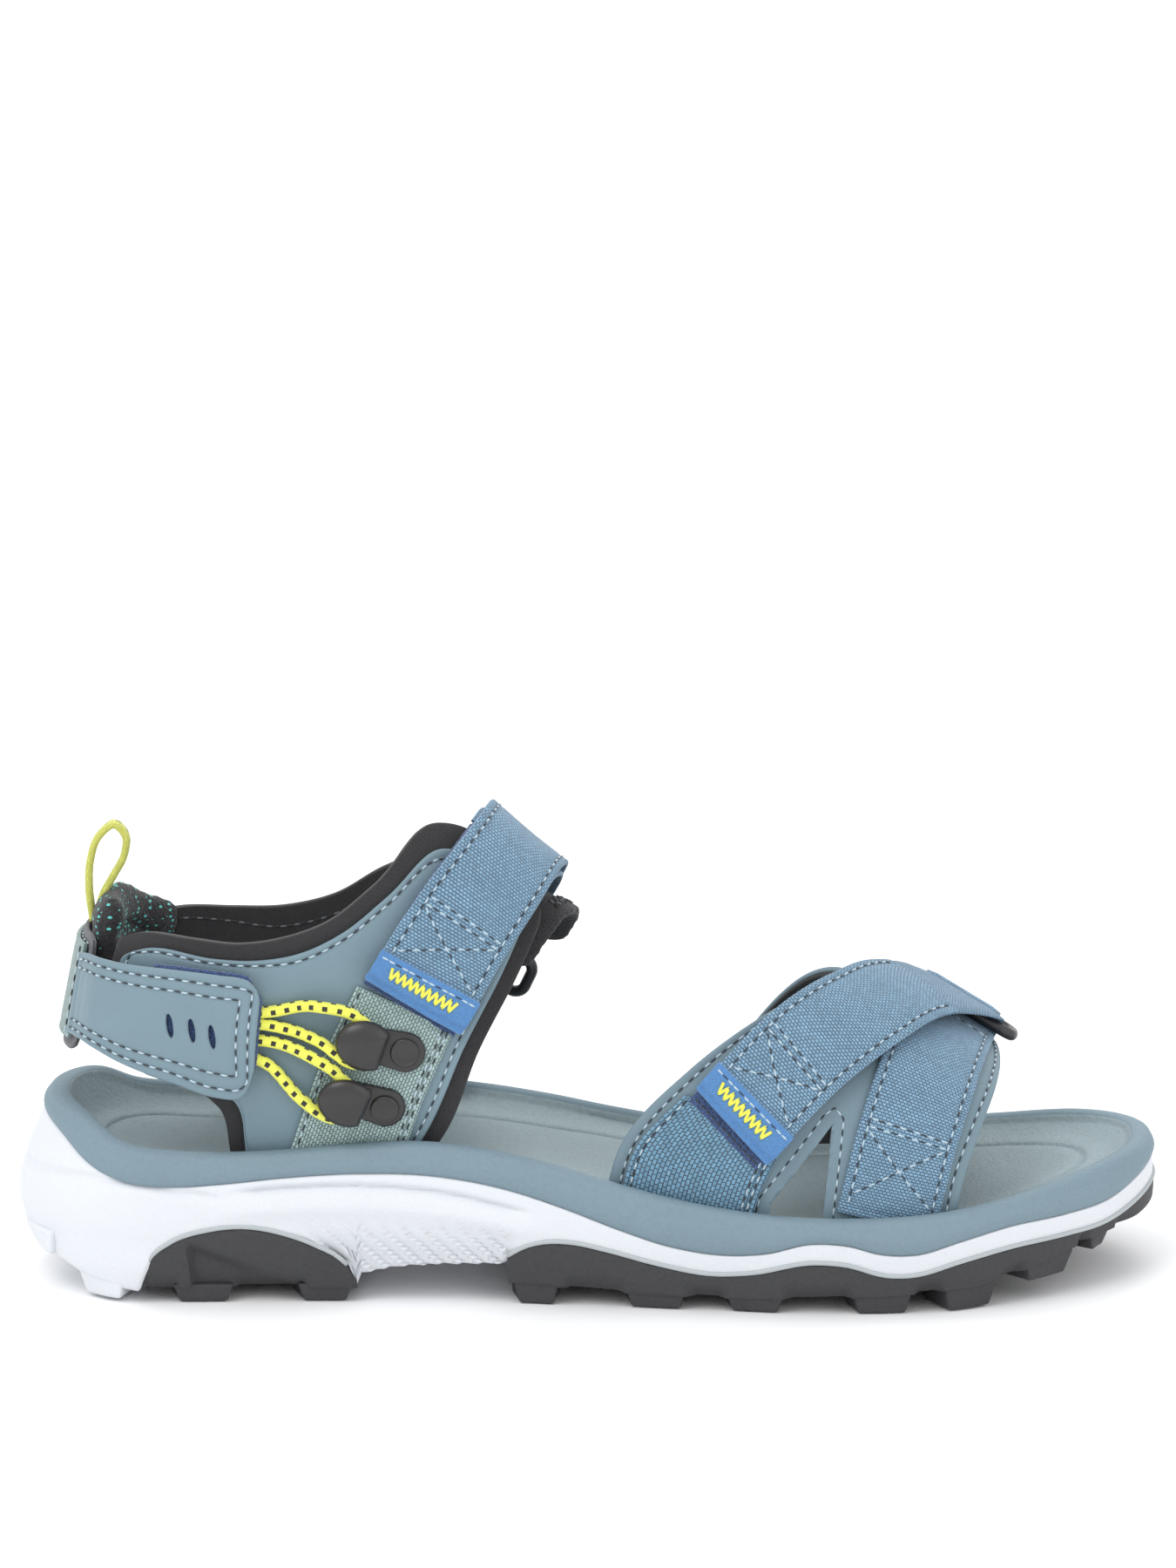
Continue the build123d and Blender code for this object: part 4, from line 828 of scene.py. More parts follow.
def quarters():
    """Both sides of the heel and ankle, with the webbing under the cord hooks."""
    quarter(
        OUTER, "lateral", 9,
        lining=[
            [(-120, 63), (-121, 78), (-117, 92)], [(-112, 59), (-111, 76), (-108, 93)],
            [(-100, 55), (-99, 74), (-97, 92)], [(-92, 48.5), (-89, 70), (-86, 91)],
            [(-87, None), (-81, 64), (-75, 92.5)], [(-78, None), (-71, 64), (-65, 96)],
            [(-66, None), (-60, 68), (-53, 105)], [(-54, None), (-47, 72), (-38.5, 119)],
            [(-46, None), (-35, 70), (-24, 111.5)], [(-41, None), (-36, 41), (-27, 63), (-18, 80), (-10, 97)],
        ],
        shell=[
            [(-116, 66), (-118, 76), (-115, 88)], [(-107, 60.5), (-107, 75), (-106, 89.5)],
            [(-95, 56.5), (-94, 72), (-93, 87.5)], [(-88, 51), (-84.5, 69), (-82, 87)],
            [(-83, None), (-78, 62), (-72, 88.5)], [(-73, None), (-67, 64), (-61, 93.5)],
            [(-62, None), (-56, 67), (-50, 102)], [(-53, None), (-46, 70), (-37, 112.5)],
            [(-48, None), (-38, 66), (-26, 107.5)],
            [(-45, None), (-40, 43), (-31, 64), (-21.5, 82), (-15, 96)],
        ],
    )
    web = walls(
        OUTER, [(-76, None), (-67, 60), (-57.5, 80.5)], [(-61, None), (-52.5, 56), (-44.5, 74.5)],
        [(-47, None), (-40.5, 53), (-33.5, 69)],
    )
    seams = [[(a, 1), (a, -1)] for a in (1.4, -1.4, -2.6)]
    sewn_sheet("quarter_web", Patch(rib_grid(web), WEB_LIFT, WEBBING), pale_weave, seams, ["quarter_webbing"],
               grooves=(1.6,))
    lining = quarter(
        INNER, "medial", 8,
        lining=[
            [(-117, 62), (-119, 74), (-116, 86)], [(-107, 58), (-107, 73), (-105, 87.5)],
            [(-97, 50.5), (-95, 70), (-92, 87)], [(-91, None), (-85, 62), (-78, 87.5)],
            [(-78, None), (-72, 62), (-65, 91)], [(-64, None), (-58, 66), (-52, 99)],
            [(-50, None), (-44, 70), (-38, 104.5)], [(-41, None), (-33, 68), (-24, 104)],
            [(-36, None), (-32, 46), (-24, 64), (-15, 80), (-9, 93)],
        ],
        shell=[
            [(-113, 65), (-115, 74), (-112, 82)], [(-105, 61.5), (-104, 72), (-102, 83.5)],
            [(-93, 54), (-91, 69), (-89, 83)], [(-87, None), (-81, 60), (-75, 84)],
            [(-75, None), (-69, 61), (-63, 87.5)], [(-62, None), (-56, 65), (-51, 95.5)],
            [(-50, None), (-44, 68), (-38, 100)], [(-44, None), (-36, 66), (-26, 100)],
            [(-41, None), (-36, 46), (-28, 64), (-19, 80), (-13, 90)],
        ],
    )
    points, normals = lining.line((10, -7), (-6, -7))
    inner_face = points - (lining.thickness + ON_TOP) * normals, -normals
    seam = threads("medial_lining_stitching", [inner_face], [black_thread, grey_thread])
    place(seam, "medial_quarter_lining")


def tab_patch(path, half):
    """A tab folded over the free end of a strap."""

    def lift(a):
        return np.interp(a, [0, 1.6, 2.2], [FLAP_LIFT - 0.1, FLAP_LIFT + 0.1, FLAP_LIFT + WEBBING + 0.1])

    return Patch(path.ribbon(-0.2, 8.6, -half - 0.4, half + 0.4), lift, TAB + 0.1, (0.8, 0.4, 0.4, 0.8))


def strap_seams(long, box_low, box_high, wide, edge=STRAP_SEAM):
    """The sewn lines of a strap: both edges, a double line across, and a cross between it and the tab."""
    across = [[(a, edge + 0.4), (a, -edge - 0.4)] for a in (box_high, box_high + 1.7)]
    corners = edge + 1, wide - edge - 1
    cross = [[(box_low, b), (box_high - 0.6, c)] for b, c in (corners, corners[::-1])]
    return [[(box_low - 1, edge), (long, edge)], [(box_low - 1, -edge), (long, -edge)]] + across + cross


def zigzag(patch, start, end, teeth):
    """A yellow zigzag sewn across a tab."""
    marks_b = np.linspace(start, end, 2 * teeth + 1)
    points, normals = patch.line(*[(3.4 if k % 2 else 6.2, b) for k, b in enumerate(marks_b)], step=0.3)
    return points + 0.12 * normals


def flap(name, path, half, web, hook_end, seams, teeth_end, teeth):
    """A strap's free flap: its hook face, its webbing, and the tab with its zigzag."""
    body = f"{name}_flap"
    hook = Patch(path.ribbon(1.5, hook_end, 0.2 - half, half - 0.2), HOOK_LIFT, PILE, taut=web.taut)
    sewn_sheet(f"{name}_hook_pile", hook, pile_blue, replaced=[f"{name}_hook_patch"], body=body)
    sewn_sheet(f"{name}_web", web, strap_weave, seams, [f"{name}_strap"], body=body, grooves=(STRAP_SEAM,),
               open_end=True)
    tab = tab_patch(path, half)
    sewn_sheet(f"{name}_tab", tab, tab_blue, [[(7.3, 1), (7.3, -1)]], [f"{name}_pull_tab"], body=body,
               stitch=[pale_thread, pale_thread, dark_thread])
    points = zigzag(tab, 5.0, teeth_end, teeth)
    place(tube(f"{name}_tab_zigzag", points, 0.42, yellow_thread, 8), f"{name}_pull_tab", body=body)


def rise(start, end, low, high):
    """A sheet's lift that goes evenly from low to high between two distances along it."""
    return lambda a: np.interp(a, [start, end], [low, high])


def ankle():
    """The ankle strap: its sewn part, its loop face and its free flap. Returns its path."""
    path = Path(ANKLE_GUIDE)
    lift = rise(path.end - 59, path.end - 45, WEB_LIFT, UNDER_BAR)
    patch = Patch(path.ribbon(45, path.end, -HALF_ANKLE, HALF_ANKLE), lift, WEBBING, taut=True)
    seams = [[(1, b), (-4, b)] for b in (STRAP_SEAM, -STRAP_SEAM)]
    sewn_sheet("ankle_base_web", patch, strap_weave, seams, ["ankle_strap_base"], grooves=(STRAP_SEAM,))
    patch = Patch(path.ribbon(-1.6, 44, 0.3 - HALF_ANKLE, HALF_ANKLE - 0.3), WEB_LIFT, PILE)
    sewn_sheet("ankle_loop_pile", patch, pile_blue, replaced=["ankle_loop_patch"])
    lift = rise(path.end - 28, path.end - 4, FLAP_LIFT, OVER_BAR)
    web = Patch(path.ribbon(2, path.end, -HALF_ANKLE, HALF_ANKLE), lift, WEBBING, taut=True,
                bar=bar_frame(path))
    flap("ankle", path, HALF_ANKLE, web, 43, strap_seams(-4, 8, 20, 2 * HALF_ANKLE), 23.0, 10)
    return path


def vamp():
    """The leather over the forefoot: an outer panel with a window, an inner panel, and the loop webbing."""
    edges = [[(a, 2), (a, -1)] for a in (VAMP_SEAM, -VAMP_SEAM)]
    grid = rib_grid([
        [(4, -35, 26.0), (8, -36, 40), (25, -35, 59), (46, -26, 72), (60, -12, 75), (66, 8, 73)],
        [(20, -37, 22.5), (24, -38, 38), (38, -36, 56), (56, -26, 69), (67, -12, 72.5), (72, 8, 71)],
        [(43, -41, 19.5), (49, -41, 34), (60, -37, 50), (69, -28, 62), (77, -13, 69), (80, 8, 69)],
        [(57, -43, 18.5), (60, -43, 33), (65, -38, 49), (74, -28, 60), (82, -13, 66.5), (85, 8, 67)],
        [(74, -43, 18.5), (77, -41, 35), (82, -36, 48), (88, -26, 57), (93, -13, 62), (95, 8, 62)],
        [(91, -41, 19.5), (94, -39, 34), (98, -34, 44), (102, -22, 51), (104, -10, 54), (104.5, 8, 55)],
    ])
    lining = sheet("vamp_outer_lining", Patch(grid, -VAMP_LINING, VAMP_LINING - 0.1), neoprene, 1.5)
    patch = Patch(grid, 0, LEATHER)
    panel = sheet("vamp_outer", patch, vamp_leather, 1.2, grooves=(VAMP_SEAM,))
    for piece, node in ((lining, "vamp_lateral_lining"), (panel, "vamp_lateral")):
        cut(piece, [prism(WINDOW)])
        place(piece, node, node)
    border = wall_point(*straight_runs(WINDOW_SEAM).T)
    n = normal(border)
    lines = [(border + (LEATHER + ON_TOP) * n, n)] + [patch.line(*edge) for edge in edges]
    place(threads("vamp_outer_stitching", lines, TWO_TONE), "vamp_lateral")
    grid = rib_grid([
        [(24, 38, 20.5), (30, 40, 36), (42, 37, 54), (56, 24, 68), (66.3, 8.6, 73)],
        [(45, 44, 18.5), (50, 44, 36), (58, 38, 54), (67, 25, 65), (77, 8.6, 70)],
        [(70, 48, 17.5), (73, 47, 34), (78, 41, 48), (83, 26, 60), (88, 8.6, 65.5)],
        [(93, 47, 18.5), (96, 45, 33), (99, 39, 44), (102, 26, 52), (104.5, 8.6, 55)],
    ])
    patch = Patch(grid, -VAMP_LINING, VAMP_LINING - 0.1)
    sewn_sheet("vamp_inner_lining", patch, neoprene, replaced=["vamp_medial_lining"], pitch=1.6)
    sewn_sheet("vamp_inner", Patch(grid, 0, LEATHER), vamp_leather, edges, ["vamp_medial"],
               grooves=(VAMP_SEAM,))
    grid = rib_grid([
        [(8, -36, 26), (12, -37, 40), (24, -36, 53)], [(24, -38, 21.5), (30, -39, 38), (37, -37, 50)],
        [(40, -41, 20), (44, -41, 32), (51, -40, 45)],
    ])
    seams = [[(a, 2), (a, -1)] for a in (1.8, -1.8, -3.2)]
    sewn_sheet("loop_web", Patch(grid, WEB_LIFT, PILE), loop_weave, seams, ["front_loop_webbing"],
               grooves=(1.8,))


def straight_runs(corners, step=0.4):
    """Evenly spaced points along straight runs through (x, z) corners."""
    p = np.array(corners, float)
    mark = travel(p)
    s = np.linspace(0, mark[-1], int(mark[-1] / step))
    return np.stack([np.interp(s, mark, p[:, k]) for k in range(2)], -1)


def front():
    """The front strap: the sewn part up to the ring, and the free flap. Returns both paths."""
    base = Path(FRONT_BASE_GUIDE)
    lift = rise(base.end - 11, base.end + 3, WEB_LIFT, UNDER_BAR)
    patch = Patch(base.ribbon(-3, base.end, -HALF_STRAP, HALF_STRAP), lift, WEBBING)
    seams = [[(3, 2.2), (-6, 2.2)], [(3, -2.2), (-6, -2.2)], [(6, 3), (20.5, -3)], [(6, -3), (20.5, 3)]]
    seams += [[(a, 2.6), (a, -2.6)] for a in (21.5, 23.2, -9)]
    sewn_sheet("front_base_web", patch, strap_weave, seams, ["front_strap_base"], grooves=(2.2,))
    path = Path(FRONT_FLAP_GUIDE)
    patch = Patch(path.ribbon(-3.6, 30, 0.3 - HALF_STRAP, HALF_STRAP - 0.3), WEB_LIFT + 0.1, PILE)
    sewn_sheet("front_loop_pile", patch, pile_blue, [[(1.6, 1), (1.6, -1)]], ["front_loop_patch"],
               stitch=[dark_thread])
    end = path.end - FLAP_SETBACK
    lift = rise(path.end - 36, end - 2, FLAP_LIFT, OVER_BAR)
    web = Patch(path.ribbon(2, end, -HALF_STRAP, HALF_STRAP), lift, WEBBING)
    flap("front", path, HALF_STRAP, web, 32, strap_seams(-2, 8, 19, 2 * HALF_STRAP), 21.5, 9)
    return base, path


# ---------------------------------------------------------------- straps turning round their rings
def bent_sheet(name, rows, material):
    """Closed sheet of webbing about rows of points on its middle surface."""
    rows = np.asarray(rows)
    half = np.full(rows.shape[1], WEBBING / 2)
    half[[0, -1]] *= 0.3
    out = half[:, None] * unit(np.cross(np.gradient(rows, axis=0), np.gradient(rows, axis=1)))
    width = travel(rows[0])
    uv = np.meshgrid(travel(rows[:, 0]), np.append(width, width[::-1]), indexing="ij")
    rings = np.concatenate([rows + out, (rows - out)[:, ::-1]], axis=1)
    return body_through(name, rings, [material], np.stack(uv, -1).reshape(-1, 2))


def turn(name, rows, slot, bodies, start, end):
    """Webbing bridging from a flap to the sewn side."""
    piece = bent_sheet(name, rows, strap_weave)
    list(bodies)
    tuple(np.array(start) * MM)
    tuple(np.array(end) * MM)
    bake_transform(piece)


def bar_frame(path):
    """The ring's near bar: its middle, and the directions along it, onward and outward."""
    p, t = path.at(np.array([path.end]))
    n = normal(p)[0]
    onward = unit(t[0] - (t[0] @ n) * n)
    return p[0] + BAR_LIFT * n, np.cross(onward, n), onward, n


def round_bar(path, half, first, last, count=9, across=9):
    """Rows of points round the near bar between two angles, 0 being onward and 90 outward."""
    middle, along, onward, outward = bar_frame(path)
    r = BAR_RADIUS + GAP + WEBBING / 2
    rows = []
    for angle in np.radians(np.linspace(first, last, count)):
        spot = middle + r * (np.cos(angle) * onward + np.sin(angle) * outward)
        rows.append(spot + np.linspace(-half, half, across)[:, None] * along)
    return np.array(rows)


def keeper(name, path, half, node):
    """Webbing folded round the ring's far bar, with both ends sewn down beyond it."""
    middle, along, onward, outward = bar_frame(path)
    foot = middle - BAR_LIFT * outward
    across = np.linspace(-half, half, 9)[:, None] * along
    rows = []

    def lie(far, lift):
        p = onto(foot + far * onward + across)
        rows.append(p + lift * normal(p))

    for far in np.linspace(26, 13.5, 8):
        lie(far, LEATHER + WEBBING / 2 + 0.2)
    centre = middle + RING_DEPTH * onward
    r = BAR_RADIUS + GAP + WEBBING / 2
    for angle in np.radians(np.linspace(275, 60, 13)):
        rows.append(centre + r * (math.cos(angle) * onward + math.sin(angle) * outward) + across)
    for far in np.linspace(14.5, 26, 8):
        lie(far, LEATHER + 1.5 * WEBBING + 0.3 + 1.6 * float(ease((19 - far) / 5)))
    piece = bent_sheet(name, rows, strap_weave)
    place(piece, node, node)
    lines = []
    for far in (19.5, 24.5):
        spread = np.linspace(1.5 - half, half - 1.5, 60)[:, None]
        p = onto(foot + far * onward + spread * along)
        n = normal(p)
        lines.append((p + (LEATHER + 2 * WEBBING + 0.3) * n, n))
    place(threads(name + "_stitching", lines, TWO_TONE), node)


def turns(ankle_path, base_path, flap_path):
    """The webbing of both straps round their rings."""
    middle, _, onward, outward = bar_frame(ankle_path)
    rows = round_bar(ankle_path, HALF_ANKLE, 96, -92, 14)
    start, end = middle + 4 * outward, middle - 3.2 * outward
    turn("ankle_turn", rows, "ankle_strap", ("ankle_flap", "sandal"), start, end)
    flap_end = flap_path.end - FLAP_SETBACK
    patch = Patch(flap_path.ribbon(flap_end - 4, flap_end, -HALF_STRAP, HALF_STRAP), OVER_BAR, WEBBING)
    b = np.linspace(0, patch.wide, 9)
    last, n = patch.over(np.full(9, patch.long), b)
    last = last - WEBBING / 2 * n
    before, n = patch.over(np.full(9, patch.long - 2.5), b)
    before = before - WEBBING / 2 * n
    rows = round_bar(base_path, HALF_STRAP, 90, -92, 12)
    if np.linalg.norm(rows[0, 0] - last[0]) > np.linalg.norm(rows[0, -1] - last[0]):
        rows = rows[:, ::-1]
    middle, _, onward, outward = bar_frame(base_path)
    bridge = []
    for t in np.linspace(0, 1, 9)[1:-1]:
        bow = 0.6 * math.sin(math.pi * t)
        bridge.append(last * (1 - t) + rows[0] * t + bow * n)
    rows = np.concatenate([[before - 0.3 * n, last], bridge, rows])
    turn("front_turn", rows, "front_strap", ("front_flap", "sandal"),
         last.mean(0) + 0.2 * (last.mean(0) - before.mean(0)), rows[-1].mean(0))


# ---------------------------------------------------------------- padded pieces
def puffed(piece, voxel, pressure, most, frames=16):
    """Swells a closed pad by cloth simulation, with a cap on how far any point moves, and smooths it."""
    remesh = piece.modifiers.new("remesh", "REMESH")
    remesh.mode = "VOXEL"
    remesh.voxel_size = voxel * MM
    applied(piece)
    smooth = piece.modifiers.new("smooth", "SMOOTH")
    smooth.iterations = 6
    applied(piece)
    rest = np.array([v.co for v in piece.data.vertices])
    cloth = piece.modifiers.new("cloth", "CLOTH")
    cloth.settings.use_pressure = True
    cloth.settings.uniform_pressure_force = pressure
    cloth.settings.effector_weights.gravity = 0
    cloth.settings.quality = 5
    scene = bpy.context.scene
    for step in range(1, frames + 1):
        scene.frame_set(step)
    applied(piece)
    scene.frame_set(1)
    moved = np.array([v.co for v in piece.data.vertices]) - rest
    far = np.linalg.norm(moved, axis=1, keepdims=True)
    moved *= np.minimum(1, most * MM / np.maximum(far, 1e-9))
    piece.data.vertices.foreach_set("co", (rest + moved).ravel())
    finer = piece.modifiers.new("finer", "SUBSURF")
    finer.levels = 1
    applied(piece)
    piece.data.polygons.foreach_set("use_smooth", [True] * len(piece.data.polygons))
    return piece


def sew_channel(piece, line, depth, width):
    """Presses a sewn channel into a pad along a line of points in millimetres."""
    co = np.array([v.co for v in piece.data.vertices]) / MM
    n = np.array([v.normal for v in piece.data.vertices])
    near = np.full(len(co), 1e9)
    for spot in line:
        near = np.minimum(near, ((co - spot) ** 2).sum(1))
    co -= (depth * np.exp(-near / width**2))[:, None] * n
    piece.data.vertices.foreach_set("co", (co * MM).ravel())
    piece.data.update()


def closed_skin(name, grid, low, high, material):
    """Closed mesh between two lifts over a grid, which a remesh turns into a pad."""
    patch = Patch(grid, low, high - low, (6, 6, 6, 6))
    return sheet(name, patch, material, 2.0)


def roll_top(turn_at):
    """Height of the collar's top, lower toward its inner end."""
    return 99.0 - 8.0 * float(ease((turn_at - 0.15) / 0.5))


def heel_roll():
    """The padded collar round the back of the heel: a fat roll on top of a thinner wall."""
    turns_round = np.linspace(-0.27, 0.68, 44)
    low = 64.0
    rings = []
    for turn_at in turns_round:
        high = roll_top(turn_at)
        side = OUTER if turn_at < 0 else INNER
        away = 1 - abs(turn_at)
        end = min(1.0, (turn_at + 0.27) / 0.1 + 0.35, (0.68 - turn_at) / 0.16 + 0.3)
        ring = []
        for k in range(28):
            t = 2 * math.pi * k / 28
            up, across = math.sin(t), math.cos(t)
            z = (low + high) / 2 + (high - low) / 2 * np.sign(up) * abs(up) ** 0.75 * (0.82 + 0.18 * end)
            fat = (2.3 + 2.8 * ease((z - high + 17) / 9)) * end
            centre = -4.9 + 1.3 * ease((z - high + 19) / 12)
            p = heel_point(away, z, side)
            ring.append(p + (centre + fat * across * 0.93) * normal(p))
        rings.append(ring)
    roll = body_through("heel_roll", rings, [teal_fleck])
    puffed(roll, 1.6, 2.0, 0.9)
    line = []
    for turn_at in np.linspace(-0.27, 0.68, 90):
        p = heel_point(1 - abs(turn_at), roll_top(turn_at) - 10, OUTER if turn_at < 0 else INNER)
        n = normal(p)
        line += [p + 2.0 * n, p - 9.0 * n, p - 7.0 * n]
    sew_channel(roll, line, 2.2, 1.4)
    place(roll, "heel_pad", "heel_pad")


def instep(path):
    """The pad under the ankle strap, whose rounded tip shows in front of it at the crest."""
    grid = path.ribbon(22, path.end - 13, -HALF_ANKLE - 8, HALF_ANKLE - 1)
    low, high = -2 * LINING + 0.4, -LINING - 0.2
    pad = closed_skin("instep_cushion", grid, low, high, neoprene_solid)
    puffed(pad, 1.2, 1.0, 0.3)
    place(pad, "instep_pad", "instep_pad")
    patch = Patch(grid, low, high - low + 0.3, (6, 6, 6, 6))
    teeth = np.linspace(patch.long - 4, patch.long - 34, 16)
    seam = patch.line(*[(a, 3.0 if k % 2 else 6.5) for k, a in enumerate(teeth)])
    place(threads("instep_stitching", [seam], [black_thread, grey_thread]), "instep_pad")


def knit(name, rgb, gap_rgb):
    """Fine knit for a pad that has no sheet of its own to read a pattern from."""
    look = Look(name, 0.9, Sheen_Weight=0.15)
    cell = look.cells(look.solid_place(), 1.5)
    look.paint(look.mix(cell, rgb, gap_rgb))
    look.relief(cell, 0.12)
    return look.material


neoprene_solid = knit("neoprene_solid", *KNIT_BLACK)


# ---------------------------------------------------------------- heel straps and the pull loop
def heel():
    """The counter round the back of the heel, its strips, and the heel strap with its hook and loop faces."""
    turns_round = np.concatenate([np.linspace(-0.28, -0.01, 24), np.linspace(0.01, 0.48, 40)])
    patch = Patch(heel_grid(turns_round, 59, 89), SKIN_GAP, LEATHER, (5, 5, 5, 5))
    sewn_sheet("counter", patch, grey_weave, [[(3, -2.6), (-3, -2.6)]], ["heel_counter"], grooves=(2.6,))
    turns_round = np.concatenate([np.linspace(-0.24, -0.01, 20), np.linspace(0.01, 0.2, 20)])
    patch = Patch(heel_grid(turns_round, 62, 86.5), WEB_LIFT + SKIN_GAP, WEBBING)
    seams = [[(a, 1), (a, -1)] for a in (2, -2)]
    sewn_sheet("heel_back_strip", patch, strip_weave, seams, ["heel_back_webbing"], grooves=(2.0,))
    patch = Patch(heel_grid(np.linspace(0.22, 0.76, 50), 65, 81), WEB_LIFT + SKIN_GAP, WEBBING)
    seams = [[(1, 2), (-1, 2)], [(1, -2), (-1, -2)], [(3, 3), (3, -3)]]
    sewn_sheet("heel_side_link", patch, link_weave, seams, ["heel_link"], grooves=(2.0,))
    grid = rib_grid([[heel_point(0.73, z, OUTER) for z in (64, 74, 84.5)]] + walls(
        OUTER, [(-123, 64), (-123, 74), (-122, 85)], [(-112, 60), (-112, 73), (-111, 85.5)],
        [(-101, 57), (-101, 72), (-101, 85.5)], [(-92, 54.2), (-92, 70), (-91, 84.5)],
        [(-86.5, 54), (-86, 69), (-85, 83.5)], [(-83, 57.5), (-82.3, 69), (-81, 81)],
    ))
    patch = Patch(grid, rise(2, 10, 3.4, HEEL_STRAP_LIFT), LEATHER, (0, 5, 4, 0))
    strap = sheet("heel_band", patch, leather, 1.2, grooves=HEEL_SEAMS)
    cut(strap, [prism(slot_outline(x, z)) for x, z in HEEL_SLOTS])
    place(strap, "heel_strap", "heel_strap", body="heel_flap")
    lines = [patch.line((1, -d), (-d, -d), (-d, d), (1, d)) for d in HEEL_SEAMS]
    place(threads("heel_band_stitching", lines, TWO_TONE), "heel_strap", body="heel_flap")
    start = 24
    backing = Patch(proud(grid[int(start / patch.long * len(grid)):]),
                    rise(2 - start, 10 - start, 1.9, HEEL_STRAP_LIFT - 1.5), 1.3, (0, 5.5, 4.5, 0))
    edge = sheet("heel_hook_pile", backing, pile_blue, 1.5)
    place(edge, "heel_hook_patch", "heel_hook_patch", body="heel_flap")
    patch = Patch(rib_grid(walls(OUTER, *([(x, 62), (x, 82)] for x in (-112, -102, -94)))), WEB_LIFT, PILE)
    sewn_sheet("heel_loop_pile", patch, pile_blue, replaced=["heel_loop_patch"])


def proud(grid, out=0.7):
    """A grid standing a little proud of its two long edges and its end."""
    grid = grid.copy()
    low, high = unit(grid[:, 0] - grid[:, 1]), unit(grid[:, -1] - grid[:, -2])
    grid[:, 0] += out * low
    grid[:, -1] += out * high
    grid[-1] += out * unit(grid[-1] - grid[-2])
    return onto(grid)


def pull_loop():
    """The tape loop at the back, in place of the CAD's loop and its stem."""
    line = smooth_line(PULL_LOOP, 90)
    points = np.stack([line[:, 0], np.zeros(len(line)), line[:, 1]], -1)
    up = np.cross(unit(np.gradient(points, axis=0)), [0.0, 1.0, 0.0])
    loop = tube("pull_tape", points, 0.95, tape_loop, 16, flat=2.7, up=up)
    reworked(loop)
    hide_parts("heel_pull_loop", "pull_loop_stem")
    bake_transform(loop)


def tape(name):
    """Yellow knitted tape with a broken dark thread down its middle."""
    look = Look(name, 0.85, Sheen_Weight=0.3)
    parts = look.add("SeparateXYZ", {0: look.place.outputs["UV"]})
    along, around = parts.outputs[0], parts.outputs[1]
    place_mm = look.add("CombineXYZ", {0: along, 1: look.math("MULTIPLY", around, 14.0)}).outputs[0]
    colours = colour(232, 233, 112), colour(206, 209, 92), colour(166, 170, 74)
    brick = look.floats(place_mm, colours, (1.1, 0.7), 0.1)
    dash = look.math("LESS_THAN", look.math("FRACT", look.math("MULTIPLY", along, 0.4)), 0.4)
    middle = look.math("COMPARE", look.math("FRACT", look.math("MULTIPLY", around, 2.0)), 0.5, 0.06)
    mark = look.math("MULTIPLY", dash, middle)
    look.paint(look.mix(mark, brick["Color"], colour(96, 98, 50)))
    look.relief(look.math("SUBTRACT", 1.0, brick["Fac"]), 0.25)
    return look.material


tape_loop = tape("tape_loop")


# ---------------------------------------------------------------- elastic cords and hooks
def cord(name, spots, near_hook, node):
    """An elastic cord on the quarter, which rises to go under its hook's cap past X = near_hook."""
    line = smooth_line(spots, 240)
    p = wall_point(line[:, 0], line[:, 1])
    n = normal(p)
    lift = CORD_LIFT + ease((line[:, 0] - near_hook) / 10.0) * (HOOK_CORD_LIFT - CORD_LIFT)
    place(tube(name, p + lift[:, None] * n, CORD_RADIUS, cord_yellow, 16, up=n), node, node)


def turned_shape(name, outline, rings, plane, material):
    """Solid of scaled outlines stacked outward: rings are (scale, height). plane is origin, x, y and z."""
    origin, x_axis, y_axis, z_axis = plane
    middle = outline.mean(0)
    layers = []
    for scale, height in rings:
        u, v = ((outline - middle) * scale + middle).T[..., None]
        layers.append(origin + u * x_axis + v * y_axis + height * z_axis)
    return body_through(name, layers, [material])


def rounded_rings(height, edge, steps=5, straight=0.45):
    """(scale, height) rings of a flat disc with its top edge rounded over by a share of its size."""
    rings = [(1.0, 0.0), (1.0, height * straight)]
    for a in np.linspace(0, math.pi / 2, steps + 1)[1:]:
        rings.append((1 - edge * (1 - math.cos(a)), height * (straight + (1 - straight) * math.sin(a))))
    return rings


